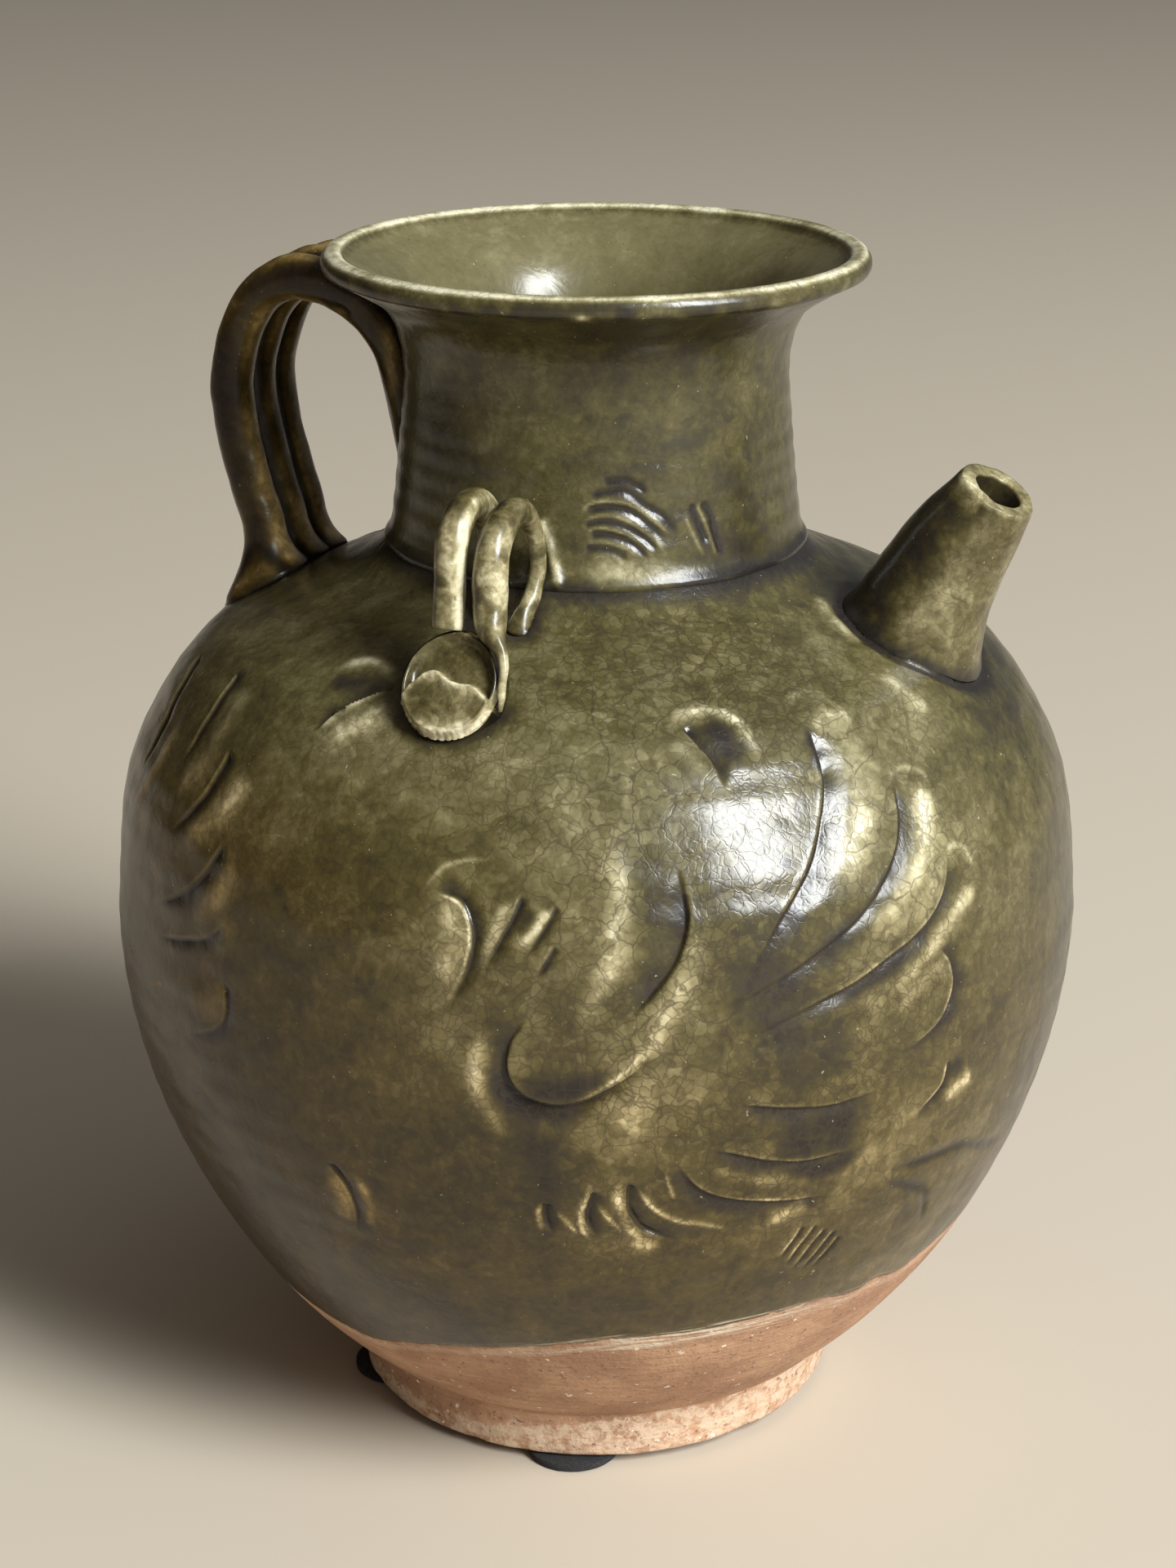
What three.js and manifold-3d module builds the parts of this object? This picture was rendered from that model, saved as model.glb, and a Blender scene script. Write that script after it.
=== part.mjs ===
import * as THREE from 'three';
import { mergeVertices } from 'three/addons/utils/BufferGeometryUtils.js';
import Module from 'manifold-3d';

// A stoneware ewer: a thrown round body on a turned foot ring, a wide neck with a rolled lip,
// a short tapered spout, a strap handle of three clay rolls opposite the spout, and two lugs
// of paired clay coils held by a pressed button. Felt pads under the foot keep it off the table.
// Millimetres, +Z up. +X is the spout side, -X the handle side, the lugs sit at -Y and +Y.
// Heights in this file are measured from the bottom of the foot ring.

// Joints: the clearance left between any two pieces that touch.
const seatGap = 0.3;

// Felt pads. Each one reaches a little past the foot ring's rim; the angles are degrees from +X.
const padThickness = 1.2;
const padRadius = 8;
const padProud = 2.4;
const padAngles = [52, 132, 214, 286];

// Foot ring
const footRadius = 41.8;
const footFlare = 1.8;
const footHeight = 9.7;
const footWall = 8;
const footBevel = 0.8;
const footRecess = 7;

// Body. The fullness shapes the belly's curve: two would be an ellipse, one a straight cone.
const bodyRadius = 82.2;
const bellyHeight = 90;
const bellyFullness = 1.17;
const bodyWall = 5;
const floorThickness = 6.5;
const floorShare = 0.8;

// Neck and lip
const neckBase = 152.5;
const neckBaseRadius = 34.4;
const neckWaistRadius = 31.6;
const neckWaistHeight = 182;
const neckWall = 4.6;
const lipRadius = 44.6;
const lipThickness = 4;
const rimHeight = 200;

// Spout. Its lengths run along its own axis, from a root point just inside the shoulder.
const spoutRise = 58.8;
const spoutRootRadius = 52.7;
const spoutRootHeight = 140;
const spoutLength = 29.4;
const spoutSetIn = 6;
const spoutSpare = 4;
const spoutBaseRadius = 12.2;
const spoutTipRadius = 6.3;
const spoutBaseBore = 7;
const spoutTipBore = 3.6;
const spoutCutTilt = 10;

// Handle
const rollRadius = 3.7;
const rollNames = ['near', 'middle', 'far'];
const handleRoot = 169;
const handleCrown = 192.3;
const handleReach = 63.4;
const handleReachHeight = 173.5;
const handleLanding = 58.3;

// Lugs. Front and back are the distances of a coil's two legs from the pot's upright axis.
const coilRadius = 2.4;
const coilPitch = 6.5;
const coilSetIn = 3;
const lugFront = 53.5;
const lugBack = 38.5;
const lugTop = 170.3;
const lugTopDrop = 1.1;
const lugOffset = 0.8;

// Lug buttons
const buttonRadius = 8.05;
const buttonLength = 8.6;
const buttonThickness = 4.6;
const buttonBevel = 0.9;
const buttonDish = 0.9;
const buttonLean = 36;
const buttonReach = 61.3;
const buttonRise = 5.3;

// Number of flats a round form is made with, and of stretches along a curve.
const bodySides = 48;
const neckSides = 40;
const spoutSides = 28;
const boreSides = 24;
const buttonSides = 24;
const padSides = 20;
const rollSides = 12;
const rollStretches = 34;
const coilSides = 10;
const coilStretches = 28;
const bellyStretches = 8;
const shoulderStretches = 12;
const neckStretches = 12;
const lipStretches = 5;
const archStretches = 6;
const measuringStretches = 60;

// From the widest circle the wall turns over a round shoulder and sweeps up into the neck.
// Each pair is a share of the way in to the neck, then a share of the way up to it.
const shoulderSweep = [
  [0, 0], [0.048, 0.352], [0.182, 0.576], [0.344, 0.728], [0.489, 0.8],
  [0.782, 0.896], [0.912, 0.944], [1, 1],
];

// The neck's taper: shares of the way from its base radius to its waist, then of the way up.
const neckTaper = [[0.42, 0.3], [0.8, 0.68]];

// The neck's flare: shares of the way from the waist to the lip, outwards, then upwards.
const neckFlare = [[0.12, 0.48], [0.36, 0.74]];

// The strap's three stretches, all as shares.
// Rise: out from the neck's waist to the far reach, then up from the root to the crown.
// Turn: out in the same way, then down from the crown to the height of the far reach.
// Fall: in from the far reach to the landing, then down from it to the shoulder.
// A share below nothing or past one lies inside the pot's wall and is trimmed away.
const strapRise = [[-0.072, 0], [-0.028, 0.32], [0.05, 0.6], [0.2, 0.84], [0.43, 0.985], [0.642, 1]];
const strapTurn = [[0.818, 0.175], [0.937, 0.52]];
const strapFall = [[0, 0], [0.2, 0.3], [0.63, 0.59], [1, 0.8], [1, 1.2]];

// The spout's outside: share of the narrowing from base to tip, then share of the length.
const spoutTaper = [[0, 0.12], [0.37, 0.42], [0.76, 0.78]];

const glaze = { color: 0x6f6b4a, roughness: 0.25, metalness: 0 };
const paleGlaze = { color: 0xa8a078, roughness: 0.3, metalness: 0 };
const bareClay = { color: 0xa9886f, roughness: 0.9, metalness: 0 };
const felt = { color: 0x17171a, roughness: 1, metalness: 0 };

const wasm = await Module();
wasm.setup();

function mix(a, b, share) {
  return a + (b - a) * share;
}

function degrees(angle) {
  return angle * Math.PI / 180;
}

// Merges the corners that faces share and turns every face outwards.
function closedGeometry(geometry) {
  const bare = geometry.index ? geometry.toNonIndexed() : geometry.clone();
  bare.deleteAttribute('normal');
  bare.deleteAttribute('uv');
  const merged = mergeVertices(bare, 1e-4);
  const corners = merged.attributes.position;
  const order = merged.index.array;
  const kept = [];
  let volume = 0;
  const a = new THREE.Vector3();
  const b = new THREE.Vector3();
  const c = new THREE.Vector3();
  for (let i = 0; i < order.length; i += 3) {
    const [p, q, r] = [order[i], order[i + 1], order[i + 2]];
    if (p !== q && q !== r && r !== p) {
      kept.push(p, q, r);
      a.fromBufferAttribute(corners, p);
      b.fromBufferAttribute(corners, q);
      c.fromBufferAttribute(corners, r);
      volume += a.dot(b.cross(c));
    }
  }
  if (volume < 0) {
    kept.reverse();
  }
  merged.setIndex(kept);
  return merged;
}

function solidOf(geometry) {
  const closed = closedGeometry(geometry);
  return new wasm.Manifold(new wasm.Mesh({
    numProp: 3,
    vertProperties: new Float32Array(closed.attributes.position.array),
    triVerts: new Uint32Array(closed.index.array),
  }));
}

function geometryOf(solid) {
  const mesh = solid.getMesh();
  const geometry = new THREE.BufferGeometry();
  geometry.setAttribute('position', new THREE.BufferAttribute(mesh.vertProperties, 3));
  geometry.setIndex(new THREE.BufferAttribute(mesh.triVerts, 1));
  geometry.computeVertexNormals();
  return geometry;
}

// Revolves an outline of [radius, height] pairs about the pot's upright axis.
function thrown(outline, sides) {
  const points = outline.map(([radius, height]) => new THREE.Vector2(radius, height));
  return new THREE.LatheGeometry(points, sides).rotateX(Math.PI / 2);
}

// A smooth outline through [radius, height] pairs.
function smoothOutline(pairs, stretches) {
  const points = pairs.map(([radius, height]) => new THREE.Vector2(radius, height));
  return new THREE.SplineCurve(points).getSpacedPoints(stretches).map(({ x, y }) => [x, y]);
}

// Moves each point of an outline sideways by a distance, along the outline's own normal.
function offsetOutline(outline, distance) {
  return outline.map(([radius, height], i) => {
    const before = outline[Math.max(i - 1, 0)];
    const after = outline[Math.min(i + 1, outline.length - 1)];
    const run = after[0] - before[0];
    const rise = after[1] - before[1];
    const length = Math.hypot(run, rise);
    return [radius + distance * rise / length, height - distance * run / length];
  });
}

// The belly rises from the top of the foot ring to the widest circle as part of a superellipse.
function bellyOutline() {
  const rootRadius = footRadius + footFlare + seatGap;
  const outline = [];
  for (let i = 0; i < bellyStretches; i += 1) {
    const turn = (i / bellyStretches) * Math.PI / 2;
    const drop = Math.cos(turn);
    const out = Math.pow(1 - drop * drop, 1 / bellyFullness);
    outline.push([mix(rootRadius, bodyRadius, out), mix(bellyHeight, footHeight, drop)]);
  }
  return outline;
}

function shoulderOutline(stretches) {
  return smoothOutline(shoulderSweep.map(([inward, upward]) => [
    mix(bodyRadius, neckBaseRadius, inward),
    mix(bellyHeight, neckBase, upward),
  ]), stretches);
}

function bodyOutline() {
  return [...bellyOutline(), ...shoulderOutline(shoulderStretches)];
}

// The neck narrows to its waist, then flares out under the rolled lip.
function neckOutline() {
  const lipRoot = rimHeight - lipThickness;
  return smoothOutline([
    [neckBaseRadius, neckBase + seatGap],
    ...neckTaper.map(([inward, upward]) => [
      mix(neckBaseRadius, neckWaistRadius, inward),
      mix(neckBase, neckWaistHeight, upward),
    ]),
    [neckWaistRadius, neckWaistHeight],
    ...neckFlare.map(([outward, upward]) => [
      mix(neckWaistRadius, lipRadius, outward),
      mix(neckWaistHeight, lipRoot, upward),
    ]),
    [lipRadius - lipThickness * 0.4, lipRoot + lipThickness * 0.05],
  ], neckStretches);
}

// The lip is a half round, from its underside over the crest to the inside of the mouth.
function lipOutline() {
  const round = lipThickness / 2;
  const first = degrees(-12);
  const last = degrees(140);
  const outline = [];
  for (let i = 0; i < lipStretches; i += 1) {
    const turn = mix(first, last, i / (lipStretches - 1));
    outline.push([
      lipRadius - round + round * Math.cos(turn),
      rimHeight - round + round * Math.sin(turn),
    ]);
  }
  return outline;
}

function heightOnShoulder(radius) {
  const outline = shoulderOutline(measuringStretches);
  const next = outline.findIndex(([r]) => r < radius);
  const [r0, h0] = outline[next - 1];
  const [r1, h1] = outline[next];
  return mix(h0, h1, (radius - r0) / (r1 - r0));
}

// The pot as one filled form, a seat gap larger all round, to trim what is luted onto it.
function trimForm() {
  const belly = offsetOutline(bodyOutline(), seatGap);
  const neck = offsetOutline([...neckOutline(), ...lipOutline()], seatGap);
  const [, lowest] = belly[0];
  const [, highest] = neck[neck.length - 1];
  return solidOf(thrown([[0, lowest], ...belly, ...neck, [0, highest]], bodySides));
}

const potTrim = trimForm();

// Leans a form that was made upright onto the spout's axis.
function alongSpout(geometry) {
  return geometry
    .rotateY(degrees(90 - spoutRise))
    .translate(spoutRootRadius, 0, spoutRootHeight);
}

function makeBody() {
  const outer = bodyOutline();
  const floor = footRecess + floorThickness;
  const ceiling = neckBase - bodyWall;
  const mouthRadius = neckBaseRadius - neckWall;
  const recessRadius = footRadius - footWall - seatGap;
  const cavity = offsetOutline(outer, -bodyWall)
    .filter(([radius, height]) => radius > mouthRadius && height > floor && height < ceiling)
    .reverse();
  const [, neckward] = cavity[0];
  const [lowestRadius] = cavity[cavity.length - 1];
  const wall = [
    [0, footRecess],
    [recessRadius, footRecess],
    [recessRadius, footHeight],
    ...outer,
    [mouthRadius, neckBase],
    [mouthRadius, neckward],
    ...cavity,
    [lowestRadius * floorShare, floor],
    [0, floor],
  ];
  const bore = new THREE.CylinderGeometry(spoutBaseBore, spoutBaseBore, spoutLength * 2, boreSides)
    .rotateX(Math.PI / 2);
  return geometryOf(solidOf(thrown(wall, bodySides)).subtract(solidOf(alongSpout(bore))));
}

function makeFootRing() {
  const top = footHeight - seatGap;
  const innerRadius = footRadius - footWall;
  return closedGeometry(thrown([
    [footRadius - footBevel, 0],
    [footRadius, footBevel],
    [footRadius + footFlare, top],
    [innerRadius, top],
    [innerRadius, footBevel],
    [innerRadius + footBevel, 0],
    [footRadius - footBevel, 0],
  ], bodySides));
}

function makeNeck() {
  const outer = neckOutline();
  const lowest = neckBase + lipThickness / 2;
  const highest = rimHeight - lipThickness * 1.4;
  const bore = offsetOutline(outer, -neckWall)
    .filter(([, height]) => height > lowest && height < highest)
    .reverse();
  const base = [neckBaseRadius - neckWall, neckBase + seatGap];
  return closedGeometry(thrown([...outer, ...lipOutline(), ...bore, base, outer[0]], neckSides));
}

// A tapered tube, thrown upright, leaned over, cut to fit the shoulder and knife-cut at the tip.
function makeSpout() {
  const root = [spoutBaseBore, -spoutSetIn];
  const tip = spoutLength + spoutSpare;
  const outline = [
    root,
    [spoutBaseRadius, -spoutSetIn],
    ...spoutTaper.map(([narrowing, along]) => [
      mix(spoutBaseRadius, spoutTipRadius, narrowing),
      spoutLength * along,
    ]),
    [spoutTipRadius, tip],
    [spoutTipBore, tip],
    [spoutTipBore, spoutLength * 0.8],
    [mix(spoutBaseBore, spoutTipBore, 0.6), spoutLength * 0.5],
    root,
  ];
  const tube = solidOf(alongSpout(thrown(outline, spoutSides)));
  const block = spoutBaseRadius * 4;
  const knife = new THREE.BoxGeometry(block, block, block)
    .translate(0, 0, block / 2)
    .rotateX(degrees(spoutCutTilt))
    .translate(0, 0, spoutLength);
  return geometryOf(tube.subtract(solidOf(alongSpout(knife))).subtract(potTrim));
}

// A clay roll or coil: a round section drawn along a curve.
function rolled(path, radius, sides, stretches) {
  const section = new THREE.Shape();
  for (let i = 0; i < sides; i += 1) {
    const turn = (i / sides) * 2 * Math.PI;
    const point = [radius * Math.cos(turn), radius * Math.sin(turn)];
    if (i === 0) {
      section.moveTo(...point);
    } else {
      section.lineTo(...point);
    }
  }
  section.closePath();
  return new THREE.ExtrudeGeometry(section, {
    extrudePath: path,
    steps: stretches,
    curveSegments: 1,
    bevelEnabled: false,
  });
}

// A curve through points in space that keeps an even bend between them.
function bentCurve(points) {
  return new THREE.CatmullRomCurve3(points, false, 'centripetal');
}

// The strap springs from the neck under the lip, arches over and lands on the shoulder.
function handlePath(side) {
  const shoulder = heightOnShoulder(handleLanding);
  const rise = strapRise.map(([out, up]) => [
    mix(neckWaistRadius, handleReach, out),
    mix(handleRoot, handleCrown, up),
  ]);
  const turn = strapTurn.map(([out, down]) => [
    mix(neckWaistRadius, handleReach, out),
    mix(handleCrown, handleReachHeight, down),
  ]);
  const fall = strapFall.map(([inward, down]) => [
    mix(handleReach, handleLanding, inward),
    mix(handleReachHeight, shoulder, down),
  ]);
  return bentCurve([...rise, ...turn, ...fall]
    .map(([radius, height]) => new THREE.Vector3(-radius, side, height)));
}

function makeHandleRoll(index) {
  const pitch = 2 * rollRadius + seatGap;
  const side = (index - (rollNames.length - 1) / 2) * pitch;
  return geometryOf(solidOf(rolled(handlePath(side), rollRadius, rollSides, rollStretches))
    .subtract(potTrim));
}

// A lug coil stands on the shoulder, arches towards the neck and comes down beside it.
function lugPath(side) {
  const middle = (lugFront + lugBack) / 2;
  const arch = (lugFront - lugBack) / 2;
  const top = side > 0 ? lugTop - lugTopDrop : lugTop;
  const springing = top - coilRadius - arch;
  const frontFoot = heightOnShoulder(lugFront);
  const backFoot = heightOnShoulder(lugBack);
  const points = [[lugFront, frontFoot - coilSetIn], [lugFront, mix(frontFoot, springing, 0.5)]];
  for (let i = 0; i <= archStretches; i += 1) {
    const turn = (i / archStretches) * Math.PI;
    points.push([middle + arch * Math.cos(turn), springing + arch * Math.sin(turn)]);
  }
  points.push([lugBack, mix(backFoot, springing, 0.4)]);
  points.push([lugBack, backFoot - coilSetIn]);
  return bentCurve(points
    .map(([radius, height]) => new THREE.Vector3(lugOffset + side, -radius, height)));
}

function coilSolid(side, radius) {
  return solidOf(rolled(lugPath(side), radius, coilSides, coilStretches));
}

function makeLugCoil(side) {
  return geometryOf(coilSolid(side, coilRadius).subtract(potTrim));
}

// The button is pressed over the front ends of the coils: a dished oval that leans on them.
function makeLugButton() {
  const outline = [
    [0, -buttonThickness],
    [buttonRadius, -buttonThickness],
    [buttonRadius, -buttonBevel],
    [buttonRadius - buttonBevel, 0],
    [buttonRadius * 0.72, -buttonDish * 0.4],
    [buttonRadius * 0.36, -buttonDish],
    [0, -buttonDish],
  ];
  const button = thrown(outline, buttonSides)
    .scale(1, buttonLength / buttonRadius, 1)
    .rotateX(degrees(90 - buttonLean))
    .translate(lugOffset, -buttonReach, heightOnShoulder(buttonReach) + buttonRise);
  let pressed = solidOf(button).subtract(potTrim);
  for (const side of [-coilPitch / 2, coilPitch / 2]) {
    pressed = pressed.subtract(coilSolid(side, coilRadius + seatGap));
  }
  return geometryOf(pressed);
}

function makePad() {
  return closedGeometry(new THREE.CylinderGeometry(padRadius, padRadius, padThickness, padSides)
    .rotateX(Math.PI / 2)
    .translate(0, 0, padThickness / 2));
}

function named(name, geometry, finish) {
  const mesh = new THREE.Mesh(geometry, new THREE.MeshStandardMaterial(finish));
  mesh.name = name;
  return mesh;
}

function makeLug(side, turn) {
  const lug = new THREE.Group();
  lug.rotation.z = turn;
  lug.add(named(`lug_coil_${side}_left`, makeLugCoil(-coilPitch / 2), paleGlaze));
  lug.add(named(`lug_coil_${side}_right`, makeLugCoil(coilPitch / 2), paleGlaze));
  lug.add(named(`lug_button_${side}`, makeLugButton(), paleGlaze));
  return lug;
}

function makePot() {
  const pot = new THREE.Group();
  pot.add(named('body', makeBody(), glaze));
  pot.add(named('foot_ring', makeFootRing(), bareClay));
  pot.add(named('neck', makeNeck(), glaze));
  pot.add(named('spout', makeSpout(), glaze));
  rollNames.forEach((name, index) => {
    pot.add(named(`handle_roll_${name}`, makeHandleRoll(index), glaze));
  });
  pot.add(makeLug('near', 0));
  pot.add(makeLug('far', Math.PI));
  pot.position.z = padThickness + seatGap;
  return pot;
}

const jug = new THREE.Group();
jug.add(makePot());
padAngles.forEach((angle, index) => {
  const reach = footRadius + padProud - padRadius;
  const pad = named(`foot_pad_${index + 1}`, makePad(), felt);
  pad.position.set(reach * Math.cos(degrees(angle)), reach * Math.sin(degrees(angle)), 0);
  jug.add(pad);
});

export default jug;
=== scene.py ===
# %% [markdown]
# # A carved celadon ewer
# The real jug is stoneware: a round pot and a neck thrown on the wheel, a short spout, a strap
# handle of three clay rolls, and two lugs of bent coils held by a pressed button. All of it was
# joined with wet slip, carved while leather hard, dipped in an olive glaze down to a line above
# the foot, and fired once. This lesson dresses the solid model piece by piece in that order.

# %% Load the solid model
import math

import bpy
import numpy as np
from mathutils import Matrix, Vector, noise
from mathutils.bvhtree import BVHTree


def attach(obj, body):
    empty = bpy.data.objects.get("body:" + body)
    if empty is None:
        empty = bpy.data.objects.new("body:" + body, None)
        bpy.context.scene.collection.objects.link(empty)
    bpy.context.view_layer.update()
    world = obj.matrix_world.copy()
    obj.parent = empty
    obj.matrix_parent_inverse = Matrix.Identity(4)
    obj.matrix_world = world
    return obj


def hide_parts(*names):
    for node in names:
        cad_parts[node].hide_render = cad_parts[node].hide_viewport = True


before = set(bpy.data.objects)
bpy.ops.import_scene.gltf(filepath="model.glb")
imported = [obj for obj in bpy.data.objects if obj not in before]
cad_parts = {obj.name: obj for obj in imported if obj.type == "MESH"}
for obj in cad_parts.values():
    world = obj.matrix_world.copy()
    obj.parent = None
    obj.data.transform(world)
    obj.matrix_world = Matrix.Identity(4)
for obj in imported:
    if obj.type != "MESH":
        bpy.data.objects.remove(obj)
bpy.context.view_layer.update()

# %% [markdown]
# ## Measures
# Everything below is reckoned in millimetres, with heights from the underside of the foot ring,
# and turned into Blender's metres only when points are written to a mesh. Four felt pads and a
# hair of clearance hold the foot a little off the table.

# %% Shared measures
MM = 0.001
FOOT_LIFT = 1.5

BODY_RADIUS = 82.2
BELLY_HEIGHT = 90.0
BELLY_FULLNESS = 1.17
FOOT_TOP = 9.7
FOOT_TOP_RADIUS = 43.9
NECK_BASE = 152.5
NECK_BASE_RADIUS = 34.4


def mix(a, b, share):
    return a + (b - a) * share


def smoothstep(low, high, value):
    """0 below low, 1 above high, and an even S between them."""
    share = np.clip((value - low) / (high - low), 0, 1)
    return share * share * (3 - 2 * share)


def swell(value, middle, width):
    """1 at the middle, dying away evenly to both sides."""
    return np.exp(-((value - middle) / width) ** 2)


def arc(here, there, leave, arrive, share):
    """Points on the way from here to there, with a given slope at each end."""
    middle = 3 * (there - here) - 2 * leave - arrive
    return here + share * (leave + share * (middle + share * (2 * (here - there) + leave + arrive)))


def smooth_line(points, steps):
    """A curve through points, with the same number of steps between each two of them."""
    points = np.asarray(points, float)
    ends = np.vstack([points[0], points, points[-1]])
    share = np.linspace(0, 1, steps, endpoint=False)[:, None]
    pieces = [arc(here, there, (there - before) / 2, (after - here) / 2, share)
              for before, here, there, after in zip(ends, ends[1:], ends[2:], ends[3:])]
    return np.vstack(pieces + [points[-1:]])


def length_along(line):
    """The distance from a line's start to each of its points."""
    return np.concatenate([[0], np.cumsum(np.linalg.norm(np.diff(line, axis=0), axis=1))])


def even_steps(line, spacing):
    """The same line with points at an even spacing, or at the marks that a list gives."""
    length = length_along(line)
    if np.isscalar(spacing):
        marks = np.linspace(0, length[-1], max(2, int(round(length[-1] / spacing)) + 1))
    else:
        marks = np.clip(spacing, 0, length[-1])
    return np.stack([np.interp(marks, length, side) for side in line.T], axis=1)


def round_places(points):
    """Angle round the pot, distance from its axis, and height over the foot's underside."""
    turn = np.arctan2(points[:, 1], points[:, 0])
    return turn, np.hypot(points[:, 0], points[:, 1]), points[:, 2] - FOOT_LIFT


def in_space(turn, radius, z):
    return np.column_stack(np.broadcast_arrays(radius * np.cos(turn), radius * np.sin(turn), z))


# %% [markdown]
# ## The pot's outline
# On the wheel the wall is one curve: a full belly, a round shoulder, and a sweep into the neck.
# The curve is kept as [radius, height] pairs, and each place on it is also known by its distance
# along the wall from the foot. That distance and the angle round the pot make a flat map of the
# wall, on which the carving is drawn later.

# %% Outline of body and neck
def belly_line():
    turn = np.linspace(0, math.pi / 2, 240, endpoint=False)
    drop = np.cos(turn)
    out = (1 - drop * drop) ** (1 / BELLY_FULLNESS)
    radius = mix(FOOT_TOP_RADIUS, BODY_RADIUS, out)
    return np.stack([radius, mix(BELLY_HEIGHT, FOOT_TOP, drop)], axis=1)


SHOULDER_SWEEP = [(0, 0), (0.048, 0.352), (0.182, 0.576), (0.344, 0.728), (0.489, 0.8), (0.782, 0.896),
                  (0.912, 0.944), (1, 1)]
NECK_PAIRS = [(34.4, 152.5), (33.22, 161.35), (32.16, 172.56), (31.6, 182.0), (33.16, 188.72),
              (36.28, 192.36), (43.0, 196.2)]
shoulder_pairs = [(mix(BODY_RADIUS, NECK_BASE_RADIUS, inward), mix(BELLY_HEIGHT, NECK_BASE, rise))
                  for inward, rise in SHOULDER_SWEEP]
body_line = np.vstack([belly_line(), smooth_line(shoulder_pairs, 40)])
neck_line = smooth_line(NECK_PAIRS, 40)
body_length = length_along(body_line)
neck_length = body_length[-1] + length_along(neck_line)
print("wall length: body", body_length[-1].round(1), "mm, to the lip", neck_length[-1].round(1), "mm")

pot_line = even_steps(np.vstack([body_line, neck_line[1:]]), 0.5)
pot_run = np.gradient(pot_line, axis=0)
pot_run /= np.linalg.norm(pot_run, axis=1)[:, None]
pot_out = np.stack([pot_run[:, 1], -pot_run[:, 0]], axis=1)


def radius_at(line, height):
    return np.interp(height, line[:, 1], line[:, 0])


def out_at(height):
    """The wall's outward direction at a height, as [radius, height] pairs."""
    return np.stack([np.interp(height, pot_line[:, 1], side) for side in pot_out.T], axis=1)


def pot_place(points):
    """For points in space: how far they are outside the pot's skin, and its outward direction."""
    radius = np.hypot(points[:, 0], points[:, 1])
    flat = np.stack([radius, points[:, 2] - FOOT_LIFT], axis=1)
    batches = np.array_split(flat, max(1, len(flat) // 4000))
    nearest = np.concatenate([np.argmin(((batch[:, None] - pot_line[None]) ** 2).sum(axis=2), axis=1)
                              for batch in batches])
    away = ((flat - pot_line[nearest]) * pot_out[nearest]).sum(axis=1)
    sideways = points[:, :2] / np.maximum(radius, 1e-6)[:, None]
    return away, np.column_stack([sideways * pot_out[nearest, :1], pot_out[nearest, 1]])


# %% [markdown]
# ## Tools of the bench
# A few helpers do what a hand does in Blender's edit mode. An outline starts as a small plane
# merged to one point, grows by extruding that point, and is spun once round the axis like clay on
# a wheel. After that, code reads and moves the points, the way a sculpting brush would.

# %% Bench helpers
def let_go():
    """Deselects everything, because an operator acts on all that is selected."""
    if bpy.context.object and bpy.context.object.mode != "OBJECT":
        bpy.ops.object.mode_set(mode="OBJECT")
    bpy.ops.object.select_all(action="DESELECT")


def take(piece):
    let_go()
    piece.select_set(True)
    bpy.context.view_layer.objects.active = piece


def settle(piece, name):
    """Names a piece and applies its place, so that its object sits at the origin."""
    piece.name = piece.data.name = name
    bpy.ops.object.transform_apply(location=True, rotation=True, scale=True)
    return piece


def duplicate(piece):
    """A copy with its own mesh."""
    copy = piece.copy()
    copy.data = piece.data.copy()
    bpy.context.collection.objects.link(copy)
    take(copy)
    return copy


def select_points():
    bpy.ops.mesh.select_all(action="SELECT")


def close_up(merge=None):
    """Merges points closer than so many millimetres, turns the faces outward, leaves edit mode."""
    select_points()
    if merge:
        bpy.ops.mesh.remove_doubles(threshold=MM * merge)
    bpy.ops.mesh.normals_make_consistent(inside=False)
    bpy.ops.object.mode_set(mode="OBJECT")


def draw_outline(name, points):
    """One point, extruded through the points of an outline. It stays in edit mode."""
    let_go()
    bpy.context.tool_settings.mesh_select_mode = (True, False, False)
    bpy.ops.mesh.primitive_plane_add(size=MM, location=[c * MM for c in points[0]])
    piece = settle(bpy.context.object, name)
    bpy.ops.object.mode_set(mode="EDIT")
    select_points()
    bpy.ops.mesh.merge(type="CENTER")
    for here, there in zip(points, points[1:]):
        step = [(b - a) * MM for a, b in zip(here, there)]
        bpy.ops.mesh.extrude_vertices_move(TRANSFORM_OT_translate={"value": step})
    return piece


def throw(name, outline, sides, lift=FOOT_LIFT):
    """Spins a closed [radius, height] outline once round the upright axis."""
    piece = draw_outline(name, [(radius, 0, height + lift) for radius, height in outline])
    select_points()
    bpy.ops.mesh.spin(steps=sides, angle=2 * math.pi, center=(0, 0, 0), axis=(0, 0, 1))
    close_up(merge=0.02)
    return piece


def points_of(piece):
    found = np.empty(len(piece.data.vertices) * 3)
    piece.data.vertices.foreach_get("co", found)
    return found.reshape(-1, 3) / MM


def move_points(piece, points):
    piece.data.vertices.foreach_set("co", (points * MM).ravel())
    piece.data.update()


def mark(piece, **values):
    """Stores numbers on the points, one for all or one for each, for the materials to read."""
    for name, value in values.items():
        layer = piece.data.attributes.get(name) or piece.data.attributes.new(name, "FLOAT", "POINT")
        value = np.zeros(len(piece.data.vertices)) + value
        layer.data.foreach_set("value", value.astype(np.float32))


def uneven(points, size, seed=0.0):
    """Smooth noise from about -1 to 1, with bumps of a size in millimetres."""
    return np.array([noise.noise(p) for p in (points / size + seed).tolist()])


# %% [markdown]
# ## The camera
# The jug was photographed from a little above, turned 22 degrees towards the spout. The camera
# comes early, so that each new piece can be judged from where it will be seen.

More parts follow.
